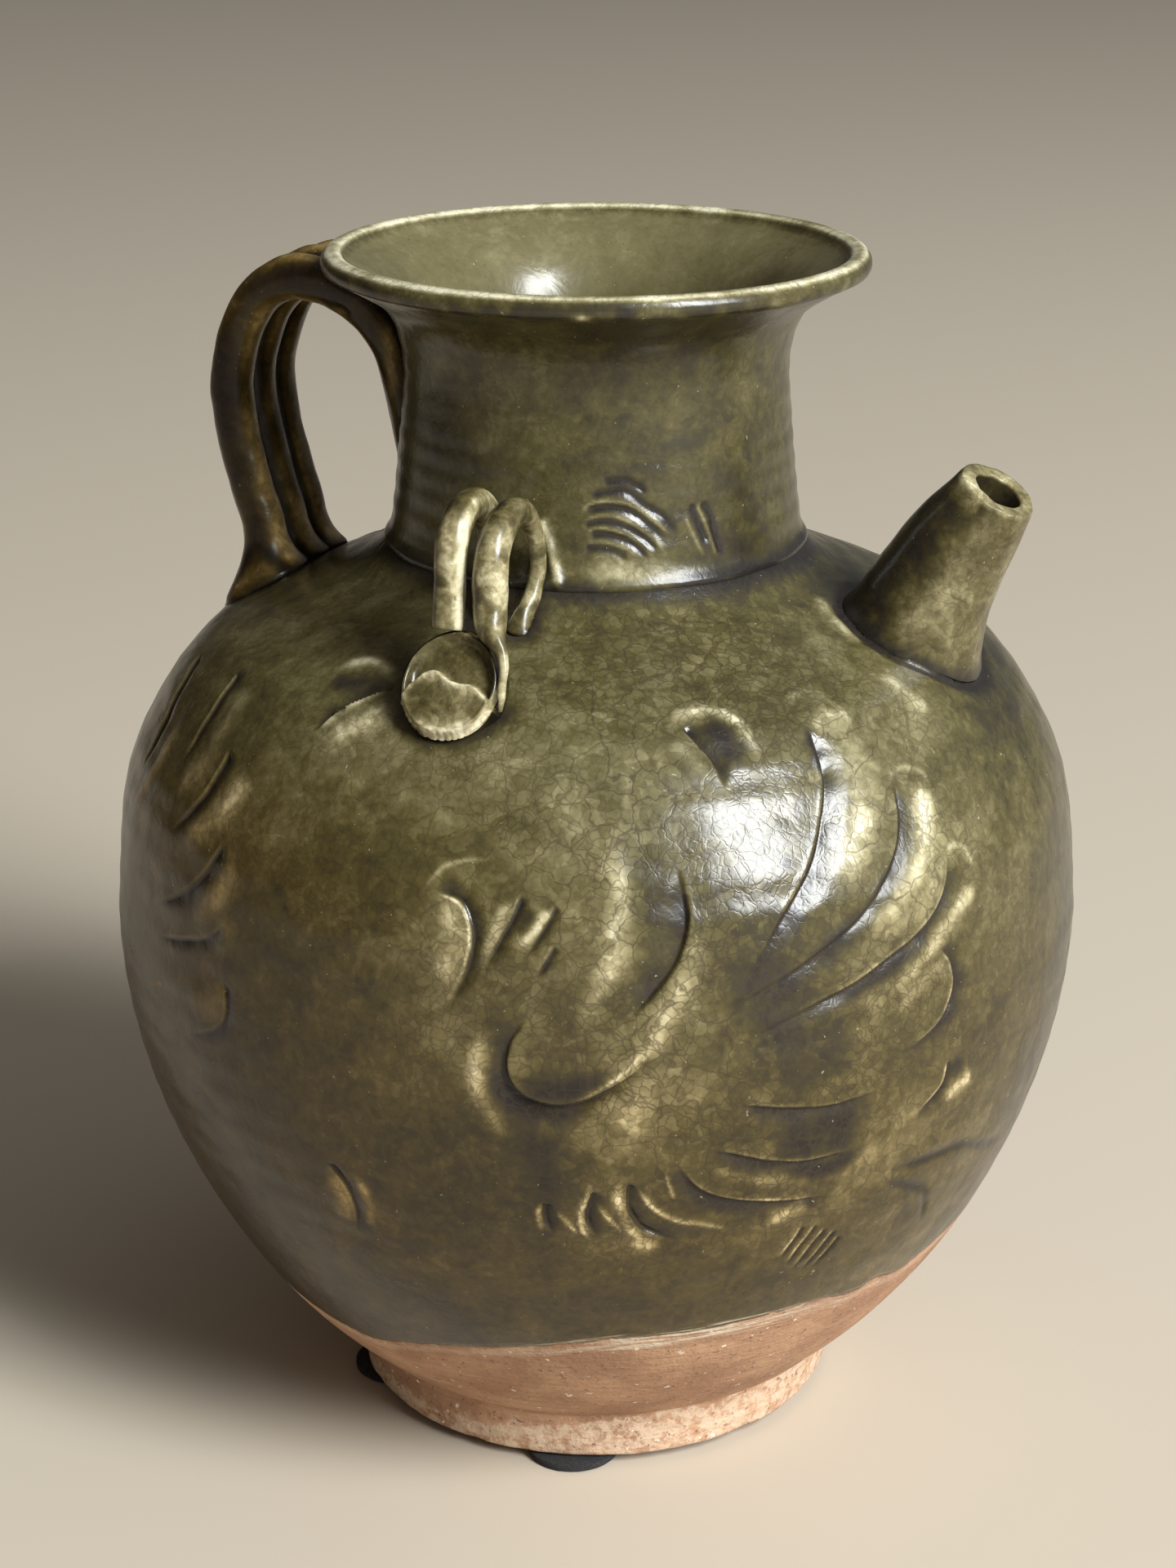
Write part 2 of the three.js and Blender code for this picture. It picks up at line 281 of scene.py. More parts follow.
# %% Camera
CAMERA_TURN, CAMERA_PITCH, CAMERA_YAW = math.radians(22), math.radians(19.92), math.radians(-0.15)
CAMERA_PLACE = (0.18775, -0.46470, 0.2905)
CAMERA_LENS, CAMERA_SENSOR = 71.25, 36

ahead = Vector((math.sin(CAMERA_YAW) * math.cos(CAMERA_PITCH),
                math.cos(CAMERA_YAW) * math.cos(CAMERA_PITCH), -math.sin(CAMERA_PITCH)))
right = Vector((math.cos(CAMERA_YAW), -math.sin(CAMERA_YAW), 0))
level = Matrix((right, right.cross(ahead), -ahead)).transposed()
camera = bpy.data.objects.new("photo_camera", bpy.data.cameras.new("photo_camera"))
camera.data.lens, camera.data.sensor_width = CAMERA_LENS, CAMERA_SENSOR
bpy.context.collection.objects.link(camera)
turned = Matrix.Rotation(CAMERA_TURN, 3, "Z") @ level
camera.matrix_world = Matrix.Translation(CAMERA_PLACE) @ turned.to_4x4()
bpy.context.scene.camera = camera
print("camera at", [round(c, 3) for c in camera.location])

# %% [markdown]
# ## Carving strokes
# The decoration is cut with a slanted knife, as potters carve leather-hard clay: each stroke has
# one sharp steep edge, and from its foot the floor rises slowly back to the wall. Glaze runs into
# the cut and turns dark there, and thins to pale straw on the sharp edge. A stroke is written as
# the path of its sharp edge on the flat map (degrees round the pot, millimetres up the wall), with
# the cut on the right hand of the direction of travel.

# %% How a stroke shapes the wall
FADES = {"cut": (0.4, 0.1), "scoop": (0.3, 0.3), "groove": (0.25, 0.2), "ridge": (0.3, 0.25),
         "band": (0.25, 0.15), "stain": (0.3, 0.3), "rib": (0.06, 0.14), "comb": (0.08, 0.15)}


def across_line(turn, up, radius, line):
    """Distance to the right of a drawn line, and the share of its length, for places on the map."""
    nearest = np.full(len(turn), np.inf)
    side, share = np.zeros(len(turn)), np.zeros(len(turn))
    scale = radius * math.radians(1)
    marks = length_along(line * [1.3, 1])
    marks /= marks[-1]
    for k in range(len(line) - 1):
        run_x, run_y = (line[k + 1, 0] - line[k, 0]) * scale, line[k + 1, 1] - line[k, 1]
        x, y = (turn - line[k, 0]) * scale, up - line[k, 1]
        part = np.clip((x * run_x + y * run_y) / (run_x ** 2 + run_y ** 2), 0, 1)
        gap = np.hypot(x - part * run_x, y - part * run_y)
        closer = gap < nearest
        nearest = np.where(closer, gap, nearest)
        side = np.where(closer, np.where(run_x * y - run_y * x > 0, -1, 1), side)
        share = np.where(closer, mix(marks[k], marks[k + 1], part), share)
    return nearest * side, share


def near_path(turn, up, path, reach, shift):
    """Which places of the map may lie within reach of a path, and their angles beside it."""
    line = smooth_line(path, 5) + [shift, 0]
    low, high = line.min(axis=0), line.max(axis=0)
    middle = (low[0] + high[0]) / 2
    off = (turn - middle + 180) % 360 - 180
    here = np.flatnonzero((abs(off) < (high[0] - low[0]) / 2 + math.degrees(reach / 60))
                          & (up > low[1] - reach) & (up < high[1] + reach))
    return line, here, off[here] + middle


def cut_marks(x, ends, width, deep, pale):
    """Depth, height, pooled and thin glaze across a slanted cut, x millimetres beside its edge."""
    slope = np.clip(1 - x / (width * (0.3 + 0.7 * ends)), 0, 1) * (x > -1)
    wet = 0.72 * swell(np.maximum(x, 0), 0, 0.72 * width) + 0.28 * np.exp(-np.abs(x - 0.25) / 0.35)
    return (deep * smoothstep(-0.2, 0.35, x) * slope ** 1.3 * ends ** 0.7,
            0.15 * deep * swell(x, -0.45, 0.45) * ends,
            smoothstep(-0.15, 0.2, x) * wet * ends ** 0.6,
            pale * swell(x, -0.4, 0.3) * ends)


def soft_marks(x, ends, kind, width, deep, pale):
    """The same four across a mark with two like sides: a groove, a ridge or a stain."""
    mound = swell(x, 0, width * (0.45 + 0.55 * ends)) * ends
    if kind in ("groove", "comb"):
        return deep * mound, 0, mound * min(1, deep * 2.8), 0
    if kind == "stain":
        return 0, 0, deep * mound, pale * mound
    return 0, deep * mound, 0, pale * mound ** 0.85 * (0.85 if kind == "band" else 1.0)


def carve(turn, up, radius, strokes, shift=0.0):
    """Depth and height of the carving, and where glaze pools and thins, for places on the map."""
    layers = np.zeros((4, len(turn)))
    for kind, width, deep, pale, path in strokes:
        line, here, angle = near_path(turn, up, path, 3 * width + 3, shift)
        if len(here) == 0:
            continue
        x, share = across_line(angle, up[here], radius[here], line)
        first, last = FADES[kind]
        ends = smoothstep(0, first, share) * smoothstep(0, last, 1 - share)
        if kind in ("cut", "scoop"):
            found = cut_marks(x, ends, width, deep, pale)
        else:
            found = soft_marks(x, ends, kind, width, deep, pale)
        for layer, value in zip(layers, found):
            layer[here] = np.maximum(layer[here], value)
    return layers


# %% [markdown]
# The bird's wing and tail on the front, read off the photograph stroke by stroke: long feathers
# that fan out under the spout, a curled scoop in the middle, small petals below it, and a comb's
# five short marks. Each row gives the kind of mark, its width, its depth, how pale its edge is,
# and its path.

# %% Strokes on the body
FEATHERS = [
    ("cut", 4.4, 0.8, 0.1, [(-53.5, 104), (-50.1, 110.4), (-47.7, 115.3), (-45, 119.6), (-42.6, 124.1),
     (-40.6, 129.3), (-39, 134), (-38.4, 137.5), (-38.1, 143.5)]),
    ("stain", 1.3, 1.0, 0, [(-38.1, 144.5), (-37.9, 141.5), (-38.1, 138.5), (-38.8, 135)]),
    ("band", 3.4, 0.3, 0.8, [(-43, 117.5), (-39, 121.5), (-36, 126), (-34.4, 132), (-33.8, 138),
     (-33.8, 144), (-35.2, 149.5)]),
    ("ridge", 0.8, 0.35, 0.6, [(-40, 145.5), (-37.8, 149.8), (-35, 151.2), (-32.6, 149.6), (-31.3, 145.5),
     (-31.2, 139)]),
    ("cut", 3.8, 0.65, 0.15, [(-54.5, 102), (-51, 104.2), (-46.8, 106.8), (-42.4, 109.9), (-38.4, 113),
     (-34.9, 117.1), (-31.8, 122), (-30.3, 125.5), (-29.4, 129.3), (-29.2, 132.2)]),
    ("stain", 1.1, 0.9, 0, [(-47, 107), (-42, 110.2), (-38, 113.4), (-34.5, 117.2), (-31.5, 121.6)]),
    ("band", 2.2, 0.35, 1.0, [(-38.5, 110.5), (-33.6, 114), (-30.9, 116.8), (-28.7, 119.8),
     (-26.8, 123.4), (-25.2, 127.9), (-24.1, 132)]),
    ("ridge", 0.6, 0.25, 0.55, [(-30, 131.3), (-28.6, 133.3), (-26.5, 133.9), (-24, 132.5),
     (-22.9, 129)]),
    ("cut", 3.2, 0.65, 0.5, [(-53, 96.5), (-46.7, 99.9), (-43.3, 101.4), (-38.9, 103.2), (-34.9, 105.6),
     (-30.5, 108.1), (-27, 111.6), (-25.3, 115), (-24.4, 118.5)]),
    ("stain", 1.1, 0.9, 0, [(-44, 100), (-38.5, 102), (-34.3, 104.1), (-29.8, 106.7), (-26.4, 110.4)]),
    ("band", 1.7, 0.3, 1.0, [(-34.5, 100.2), (-29.6, 104.3), (-27.4, 106.5), (-24.7, 109.1),
     (-22.1, 111.8), (-20.8, 115)]),
    ("band", 1.9, 0.1, 0.5, [(-36, 108.5), (-30.5, 112), (-27.5, 115), (-26, 119)]),
    ("ridge", 0.6, 0.25, 0.55, [(-24.8, 118.5), (-23, 119.9), (-21.3, 118.6), (-20.4, 115)]),
    ("cut", 2.6, 0.7, 0.7, [(-33, 89.6), (-29.5, 91.1), (-26.5, 93.9), (-25.1, 97.5), (-25.4, 102),
     (-27, 104.6)]),
    ("band", 1.1, 0.2, 0.6, [(-34, 95.5), (-30.6, 99.8), (-27.4, 102), (-26.3, 98.5)]),
    ("cut", 1.9, 0.6, 0.8, [(-30, 77), (-27.2, 79.8), (-25.9, 82), (-25.5, 85.3)]),
    ("stain", 1.5, 0.6, 0, [(-25.3, 84.5), (-22.6, 82.6)]),
    ("band", 1.6, 0.2, 1.0, [(-25.8, 77.8), (-23.2, 79.6), (-21, 81.2)]),
    ("stain", 8.0, 0.5, 0, [(-54, 113), (-49, 103), (-45, 94), (-43, 83)]),
]
CURLED_SCOOP = [
    ("ridge", 1.1, 0.5, 1.0, [(-58.5, 144.5), (-56.7, 148.2), (-54, 149.7), (-51, 149.9), (-48.6, 148.3),
     (-47.2, 145), (-46.2, 139)]),
    ("cut", 3.4, 0.6, 0.25, [(-51.9, 136), (-53, 140.8), (-54.4, 143.5), (-56, 147)]),
    ("stain", 2.3, 0.75, 0, [(-54, 147), (-51, 144.5), (-49.3, 139)]),
    ("stain", 1.5, 0, 0.55, [(-57.6, 145.5), (-55.6, 141.5), (-53.6, 137)]),
    ("band", 1.8, 0.35, 0.75, [(-66.4, 132), (-65.9, 124), (-65.6, 118), (-66, 112.5), (-67.4, 107),
     (-70, 100.5)]),
    ("scoop", 6.0, 0.85, 0.25, [(-58.7, 124.5), (-58, 119), (-58.1, 115), (-59.3, 110), (-61.6, 105.5),
     (-65, 100.5)]),
    ("stain", 2.7, 0.5, 0, [(-62, 130), (-61.4, 120), (-61.4, 113), (-62.8, 107), (-66.5, 101)]),
    ("band", 1.9, 0.3, 0.75, [(-56.9, 118), (-57.6, 111), (-59.1, 105.5), (-60.9, 101), (-62.5, 96),
     (-64.5, 91), (-67.2, 86.8), (-70, 83.5)]),
    ("stain", 5.0, 0, 0.42, [(-61, 100), (-63.5, 91), (-65.3, 84), (-67, 75)]),
    ("scoop", 4.4, 1.2, 0.1, [(-74.6, 102.5), (-76.6, 98.5), (-77.3, 95.5), (-77.2, 92.5), (-76.2, 90),
     (-74.6, 88.6), (-72.2, 87.9), (-69.7, 88.4), (-67.2, 90), (-65, 92), (-63.3, 94.2), (-61.4, 98)]),
    ("ridge", 0.4, 0.25, 1.0, [(-71.5, 88.7), (-69.6, 89.1), (-67.6, 90.6), (-65.6, 92.6), (-63.9, 94.9),
     (-62, 98.3)]),
    ("stain", 1.4, 0.9, 0, [(-78.6, 97.5), (-78.6, 92.5), (-77.2, 88.5), (-73.5, 86.3), (-70, 86.6),
     (-66.6, 89)]),
    ("ridge", 1.7, 0.6, 1.0, [(-79.4, 101), (-80.4, 95), (-80.5, 91), (-79.8, 87), (-78.6, 84),
     (-76.8, 80.5)]),
    ("stain", 2.1, 0.75, 0, [(-76.5, 92), (-73, 90.1), (-69.5, 91), (-65.5, 94.6)]),
    ("stain", 1.5, 0, 0.4, [(-75.6, 100.5), (-76.1, 95.5), (-74.8, 91.5)]),
    ("stain", 3.4, 0.6, 0, [(-75.8, 85), (-74, 79), (-73.6, 73), (-74.6, 67)]),
    ("cut", 2.5, 0.85, 0.9, [(-84, 102), (-82, 108), (-81.3, 112.4), (-81.6, 116), (-83, 118.9),
     (-85.8, 119.9)]),
    ("band", 2.5, 0.4, 0.65, [(-85.2, 120.3), (-83.7, 116), (-83.7, 111), (-84.6, 105.5)]),
    ("ridge", 0.45, 0.25, 0.6, [(-87.6, 119), (-85.5, 123.3), (-83, 124.8), (-79.5, 125.4)]),
    ("cut", 1.9, 0.85, 0.4, [(-80.2, 108), (-78.3, 113.5), (-77, 117), (-76.1, 120.4)]),
    ("band", 1.1, 0.4, 0.95, [(-80.8, 108.5), (-79, 114.3), (-77.2, 119.8)]),
    ("cut", 1.4, 0.55, 0.3, [(-75.3, 111.5), (-73.6, 115.5), (-72.2, 119)]),
    ("band", 0.9, 0.3, 0.85, [(-76.3, 112.3), (-74.3, 115.8), (-72.8, 118.7)]),
    ("stain", 1.0, 0.6, 0, [(-76.2, 113.5), (-74.6, 119)]),
    ("cut", 1.3, 0.35, 0.3, [(-74.3, 108), (-72.3, 113)]),
    ("stain", 1.0, 0.9, 0, [(-47, 123), (-45.5, 124.5)]),
]
# The dimple's pale ridges and bands partly paint the highlight that its slope catches.
SHOULDER_DIMPLE = [
    ("scoop", 4.4, 1.1, 0.5, [(-100.5, 152), (-102.8, 150.2), (-105.5, 146.8), (-107.3, 143.2),
     (-109, 140)]),
    ("ridge", 0.8, 0.7, 1.0, [(-100.8, 152.3), (-102.8, 150.5), (-105.2, 147), (-107.0, 143.4),
     (-108.6, 140.5)]),
    ("band", 2.2, 0.4, 0.75, [(-106.5, 140), (-103.2, 142.5), (-100.5, 145.8), (-98.5, 149)]),
    ("ridge", 1.2, 0.5, 0.85, [(-114.5, 152), (-112.4, 154), (-110, 156), (-105.5, 155.5), (-103, 153)]),
    ("stain", 2.6, 0.6, 0, [(-112.5, 149.5), (-108, 151), (-105.4, 150.5)]),
]
SPOUT_SMEAR = [
    ("band", 1.3, 0.45, 0.7, [(-7.5, 170.5), (-9.5, 168.5), (-12.5, 164.8), (-14.5, 160.5),
     (-15.5, 156)]),
    ("band", 1.6, 0.3, 0.55, [(-19, 151), (-18.2, 147.5), (-17.8, 144), (-16.5, 140)]),
    ("ridge", 1.2, 0.6, 0.9, [(-11, 152), (-9.5, 150), (-8.5, 147.8), (-6.5, 145.4)]),
]
LOWER_PETALS = [
    ("ridge", 0.55, 0.45, 0.95, [(-74, 70.5), (-74.4, 67.5), (-74, 64)]),
    ("cut", 2.5, 0.85, 0.2, [(-72.9, 63.8), (-73.8, 66.5), (-73.8, 70)]),
    ("ridge", 0.5, 0.3, 0.85, [(-72.7, 68.7), (-71.2, 66.2), (-69.8, 63.7)]),
    ("ridge", 0.6, 0.5, 1.0, [(-68.4, 73.3), (-69.3, 70), (-69.7, 67.5), (-69.5, 65), (-68.4, 61.8)]),
    ("cut", 2.7, 0.85, 0.2, [(-67.8, 63), (-69, 66), (-69, 69), (-68.3, 72.5)]),
    ("ridge", 0.5, 0.35, 0.85, [(-68.2, 70.5), (-66.7, 67.3), (-64.8, 63.8)]),
    ("ridge", 0.8, 0.5, 1.0, [(-65.1, 76), (-65.6, 72), (-65.4, 69), (-64.7, 66), (-63.6, 63.6),
     (-61.2, 60.8)]),
    ("cut", 3.1, 0.95, 0.2, [(-58.5, 61.6), (-62.4, 63.9), (-63.9, 66.5), (-64.6, 69.5), (-64.5, 74)]),
    ("stain", 1.7, 0, 0.75, [(-64.3, 62.4), (-60.5, 60)]),
    ("ridge", 0.55, 0.45, 1.0, [(-64.2, 75), (-62.8, 71.2), (-61.2, 68.2), (-58.8, 65.9), (-55.6, 64.6),
     (-52.4, 63)]),
    ("ridge", 0.4, 0.25, 0.7, [(-60.6, 76), (-60, 73), (-59.2, 70)]),
    ("scoop", 3.7, 1.0, 0.75, [(-59.3, 77.5), (-57.3, 72.9), (-54.9, 70.4), (-52, 68.8), (-48.7, 67.7),
     (-44.5, 66.8), (-40.5, 66.6)]),
    ("stain", 1.4, 0.8, 0, [(-58.8, 73), (-56.2, 69.6), (-52.5, 67.4), (-48, 66.3)]),
    ("band", 1.0, 0.2, 0.5, [(-56.5, 76.4), (-51, 73), (-47, 71.4), (-42.5, 70.4)]),
    ("scoop", 2.8, 0.8, 0.55, [(-56, 79.4), (-52, 77.3), (-48.5, 75.6), (-44, 74.3), (-38, 74.7)]),
    ("stain", 1.8, 0.9, 0, [(-48, 74), (-43.5, 72.2), (-40, 72.4), (-36, 75)]),
    ("scoop", 3.6, 0.7, 0.45, [(-53.5, 87), (-49, 85.3), (-45, 84.2), (-41, 83.7), (-36, 84.5)]),
    ("stain", 3.3, 0.75, 0, [(-48, 82), (-42, 80.5), (-37, 80.5)]),
    ("stain", 3.0, 0.5, 0, [(-50, 79), (-42, 77.3), (-36.5, 78.5)]),
    ("band", 1.5, 0.25, 1.0, [(-48.6, 63), (-45.8, 64.6), (-43, 66.2)]),
    ("stain", 2.6, 0, 0.6, [(-42, 69), (-38, 71.3), (-33, 75.5)]),
    ("stain", 5.0, 0, 0.3, [(-44, 62), (-36, 68), (-31, 76), (-29, 87)]),
    ("groove", 0.9, 0.25, 0, [(-34, 67.5), (-25, 67), (-19, 66), (-14, 63), (-6, 59)]),
    ("groove", 0.8, 0.25, 0, [(-33, 66), (-26, 61), (-23.5, 57), (-22, 50)]),
]
COMB_MARKS = [("cut", 0.95, 0.5, 0.85, path) for path in (
    [(-45.4, 54.2), (-44.2, 57.6), (-43.2, 61)], [(-44.4, 52.2), (-42.8, 56.6), (-41.4, 60.6)],
    [(-43.2, 50.8), (-41.5, 55.2), (-39.9, 59.4)], [(-41.8, 50), (-40, 54.2), (-38.4, 58.3)],
    [(-40.2, 50.2), (-38.8, 53.2), (-37.4, 56.4)])]
LEFT_WING = [
    ("cut", 3.1, 0.51, 0.34, [(-141.2, 120), (-141.6, 126), (-142.6, 130), (-144.8, 134.5), (-148, 141)]),
    ("band", 1.4, 0.35, 0.77, [(-140, 114.5), (-137.2, 120), (-136.2, 124), (-136, 132)]),
    ("cut", 2.6, 0.51, 0.34, [(-130.2, 126.5), (-129.9, 132), (-130.2, 138), (-131.2, 144.5)]),
    ("band", 2.2, 0.35, 0.72, [(-128.5, 121.5), (-126.2, 127), (-125, 131.8), (-125, 137),
     (-126.3, 144)]),
    ("cut", 2.9, 0.57, 0.30, [(-126.5, 116.5), (-123, 122.7), (-121.6, 127.2), (-121.1, 133)]),
    ("band", 2.2, 0.40, 0.83, [(-124.5, 116), (-119.2, 120.8), (-116.9, 124.6), (-116.2, 131)]),
    ("cut", 2.9, 0.57, 0.19, [(-127.5, 104), (-122, 108.5), (-119.8, 110.7), (-117.4, 114.5),
     (-115.6, 119.2)]),
    ("band", 1.9, 0.35, 0.66, [(-119.5, 105), (-115.5, 109.5), (-114, 112.5), (-112.8, 117)]),
    ("cut", 2.4, 0.45, 0.23, [(-127, 98.8), (-120.5, 101.4), (-116.5, 103.4), (-113.4, 106.5)]),
    ("band", 1.4, 0.25, 0.50, [(-114, 101), (-113.6, 104.5), (-113.3, 109)]),
    ("cut", 2.6, 0.51, 0.23, [(-120.5, 85), (-114.8, 88.8), (-112.9, 92), (-113.2, 97.5)]),
    ("band", 2.8, 0.30, 0.44, [(-120, 90.5), (-115.5, 93), (-113.8, 97)]),
    ("ridge", 0.6, 0.25, 0.6, [(-130.5, 88.5), (-125.5, 91.5)]),
    ("cut", 2.2, 0.51, 0.23, [(-97.4, 57.5), (-96.9, 62.5), (-97.4, 66.5), (-99.7, 71.2)]),
    ("band", 2.2, 0.35, 0.83, [(-99.8, 69.5), (-98.3, 65), (-98.8, 59.5)]),
    ("band", 1.1, 0.30, 0.72, [(-96, 70.5), (-94.9, 65.5), (-95.5, 59.5)]),
]
BODY_STROKES = (FEATHERS + CURLED_SCOOP + SHOULDER_DIMPLE + SPOUT_SMEAR + LOWER_PETALS + COMB_MARKS
                + LEFT_WING)
print(len(BODY_STROKES), "strokes on the front of the body")

# %% [markdown]
# ## The body
# The body is thrown as one hollow round form. Its outline here runs up the outside, over the
# opening for the neck, down the inside, across the floor, and back under the foot. The spin gives
# an even mesh.

# %% Body: throw the wall
BODY_SIDES = 240
BODY_WALL = 5.0
FLOOR_BOTTOM, FLOOR_TOP = 7, 13.5

marks = np.concatenate([np.linspace(0, 150, 70, endpoint=False), np.linspace(150, body_length[-1], 24)])
outside = even_steps(body_line, marks)
inside = even_steps(body_line, np.linspace(8, 166, 20))[::-1]
inside = inside - BODY_WALL * out_at(inside[:, 1])
body_outline = [(0, FLOOR_BOTTOM), (33.5, FLOOR_BOTTOM), (33.5, FOOT_TOP), *outside,
                (30.2, NECK_BASE - 0.4), (29.8, NECK_BASE - 2), *inside, (34, FLOOR_TOP), (0, FLOOR_TOP)]
body = throw("jug_body", body_outline, BODY_SIDES)
print("body thrown with", len(body.data.vertices), "points")

# %% [markdown]
# Carving needs far more points than a smooth wall does, so the faces under it are subdivided:
# most on the front, less where the pattern is seen from the side or repeated on the back.

# %% Body: a finer mesh where it will be carved
WALL_PATCHES = [(-92, -14, 49, 142.5), (-152, -92, 54, 137), (88, 166, 49, 142.5), (30, 88, 58, 133),
                (-21, 21, 122, 151.5)]


def finer(piece, chosen):
    """Subdivides the faces that a test on their middles picks."""
    take(piece)
    bpy.context.tool_settings.mesh_select_mode = (False, False, True)
    middles = np.empty(len(piece.data.polygons) * 3)
    piece.data.polygons.foreach_get("center", middles)
    for parts in (piece.data.vertices, piece.data.edges):
        parts.foreach_set("select", np.zeros(len(parts), bool))
    piece.data.polygons.foreach_set("select", chosen(middles.reshape(-1, 3) / MM))
    bpy.ops.object.mode_set(mode="EDIT")
    bpy.ops.mesh.subdivide(number_cuts=1)
    bpy.ops.object.mode_set(mode="OBJECT")
    bpy.context.tool_settings.mesh_select_mode = (True, False, False)


def wall_patch(first, last, low, high):
    """A test for faces of the outside wall between two angles and two heights."""
    def chosen(middles):
        turn, radius, height = round_places(middles)
        turn = np.degrees(turn)
        inside_patch = (turn > first) & (turn < last) & (height > low) & (height < high)
        return inside_patch & (radius > radius_at(body_line, height) - 1)
    return chosen


def beside_strokes(strokes, reach):
    """A test for faces of the outside wall whose middle is close to one of the strokes."""
    def chosen(middles):
        turn, radius, height = round_places(middles)
        turn, up = np.degrees(turn), np.interp(height, body_line[:, 1], body_length)
        close = np.zeros(len(middles), bool)
        for kind, width, deep, pale, path in strokes:
            line, here, angle = near_path(turn, up, path, reach(width), 0)
            close[here] |= abs(across_line(angle, up[here], radius[here], line)[0]) < reach(width)
        return close & (radius > radius_at(body_line, height) - 1)
    return chosen


for patch in WALL_PATCHES:
    finer(body, wall_patch(*patch))
shaped = [stroke for stroke in BODY_STROKES if stroke[0] != "stain"]
sharp = [stroke for stroke in shaped if stroke[0] in ("cut", "scoop") or stroke[1] < 0.7]
finer(body, beside_strokes(shaped, lambda width: width + 1.2))
finer(body, beside_strokes(sharp, lambda width: 0.85))
print("body has", len(body.data.vertices), "points after that")

# %% [markdown]
# Now the points are moved. The hand leaves faint rings and a slightly uneven wall, and the carving
# is sunk along the wall's own outward direction. The back of the pot carries the same pattern.

# %% Body: carve it
points = points_of(body)
turn, radius, height = round_places(points)
up = np.interp(height, body_line[:, 1], body_length)
true_radius = radius_at(body_line, height)
skin = (abs(radius - true_radius) < 0.25) & (height > FOOT_TOP - 0.01)
radius[skin] = true_radius[skin]
degrees = np.degrees(turn)
round_points = in_space(turn, radius, points[:, 2])

layers = np.zeros((4, len(points)))
for shift in (0, 180):
    found = carve(degrees[skin], up[skin], radius[skin], BODY_STROKES, shift)
    layers[:, skin] = np.maximum(layers[:, skin], found)
depth, raised, pool, thin = layers
depth *= 1 + 0.3 * uneven(round_points, 3.2)
thin *= 0.85 + 0.5 * uneven(round_points, 4.5, 6.0)
pool *= 0.9 + 0.3 * uneven(round_points, 6, 8.0)
rings = 0.05 * np.sin(up * 1.1 + 0.8 * np.sin(turn)) * smoothstep(20, 60, up)
hand = 0.28 * uneven(round_points, 38) + 0.07 * uneven(round_points, 11, 5.0)
inward = depth - 0.6 * raised - rings - hand + 0.33
inward *= skin * smoothstep(0, 6, up) * smoothstep(0, 5, body_length[-1] - up)
outward_radius, outward_height = out_at(height).T
moved_up = points[:, 2] - inward * outward_height
move_points(body, in_space(turn, radius - inward * outward_radius, moved_up))
print("deepest cut", depth.max().round(2), "mm")

# %% [markdown]
# The glaze stops at a wavy line above the foot, a little higher on the spout's side. The distance
# to that line is stored on the points, and the material turns it into a crisp edge.

# %% Body: the line where the glaze ends
GLAZE_EDGE = [(-180, 29), (-160, 27.5), (-140, 26), (-122, 24.5), (-111, 23.5), (-105.5, 23.5), (-93, 29),
              (-85, 31.5), (-77, 34), (-69.5, 36.2), (-63, 37.5), (-55.5, 38), (-47, 39), (-36, 39.5),
              (-29.5, 37.8), (-26, 39.4), (-19.5, 37.4), (-11, 40), (10, 42), (30, 40), (55, 42),
              (80, 37), (100, 39), (125, 33), (150, 34), (165, 30), (180, 29)]
GLAZED, BARE = 12, -12

edge_angles, edge_heights = smooth_line(GLAZE_EDGE, 8).T
above_line = np.clip(up - np.interp(degrees, edge_angles, edge_heights), BARE, GLAZED)
above_line[~skin] = np.where(height[~skin] < 12, BARE, GLAZED)
scored = swell(degrees, -55, 19) + 0.8 * swell(degrees, 110, 25)
seen = np.clip(swell(degrees, -52, 38) + 0.7 * swell(degrees, 128, 45), 0, 1)
# Painted shade: the glaze is made darker towards the bottom, on the lower left, and on the right side by
# the spout.
settled = 0.15 * smoothstep(105, 60, up) + 0.32 * smoothstep(-24, 6, degrees) * smoothstep(90, 60, degrees)
settled += 0.16 * smoothstep(-68, -108, degrees) * smoothstep(128, 95, up)
mark(body, pool=pool + settled * (1 - thin), thin=thin, above_line=above_line, scored=scored,
     crackle=0.4 + 0.6 * seen * smoothstep(48, 66, up))

# %% [markdown]
# ## The neck
# The neck is a second thrown form: a slightly waisted tube that flares to a rolled lip. It was
# luted into the top of the body, and a comb was dragged in arcs across the front just above the
# joint. The mesh is finest there.

# %% Neck: the comb's arcs
COMB_ARCS = [("rib", 0.34, 0.1, 0.45, path) for path in (
    [(-72.5, 189.5), (-70, 190.8), (-67, 191.3), (-63, 191.3), (-60, 191), (-57, 190.3), (-54, 189),
     (-51, 187.4), (-46.5, 185.2)],
    [(-71.5, 188.2), (-68, 189), (-64, 189.1), (-61, 188.6), (-58, 187.7), (-55, 186.3), (-52, 184.9),
     (-50, 183.5), (-48, 181.4)],
    [(-70.5, 186.7), (-68, 187.3), (-64.5, 187), (-60, 186.2), (-58, 185.4), (-56, 184.2), (-53.5, 182.8),
     (-51.5, 181.4)],
    [(-70.5, 184.8), (-66, 185), (-62.5, 184.5), (-60, 184), (-58, 183.2), (-56, 181.7)],
    [(-69, 182.9), (-64, 182.5), (-60.5, 180.8)],
    [(-43, 188), (-41, 185.5), (-39.5, 183.5), (-37.6, 181.4)],
    [(-39.6, 190), (-38, 188), (-36.5, 186), (-35, 183.5), (-33.5, 181)])]
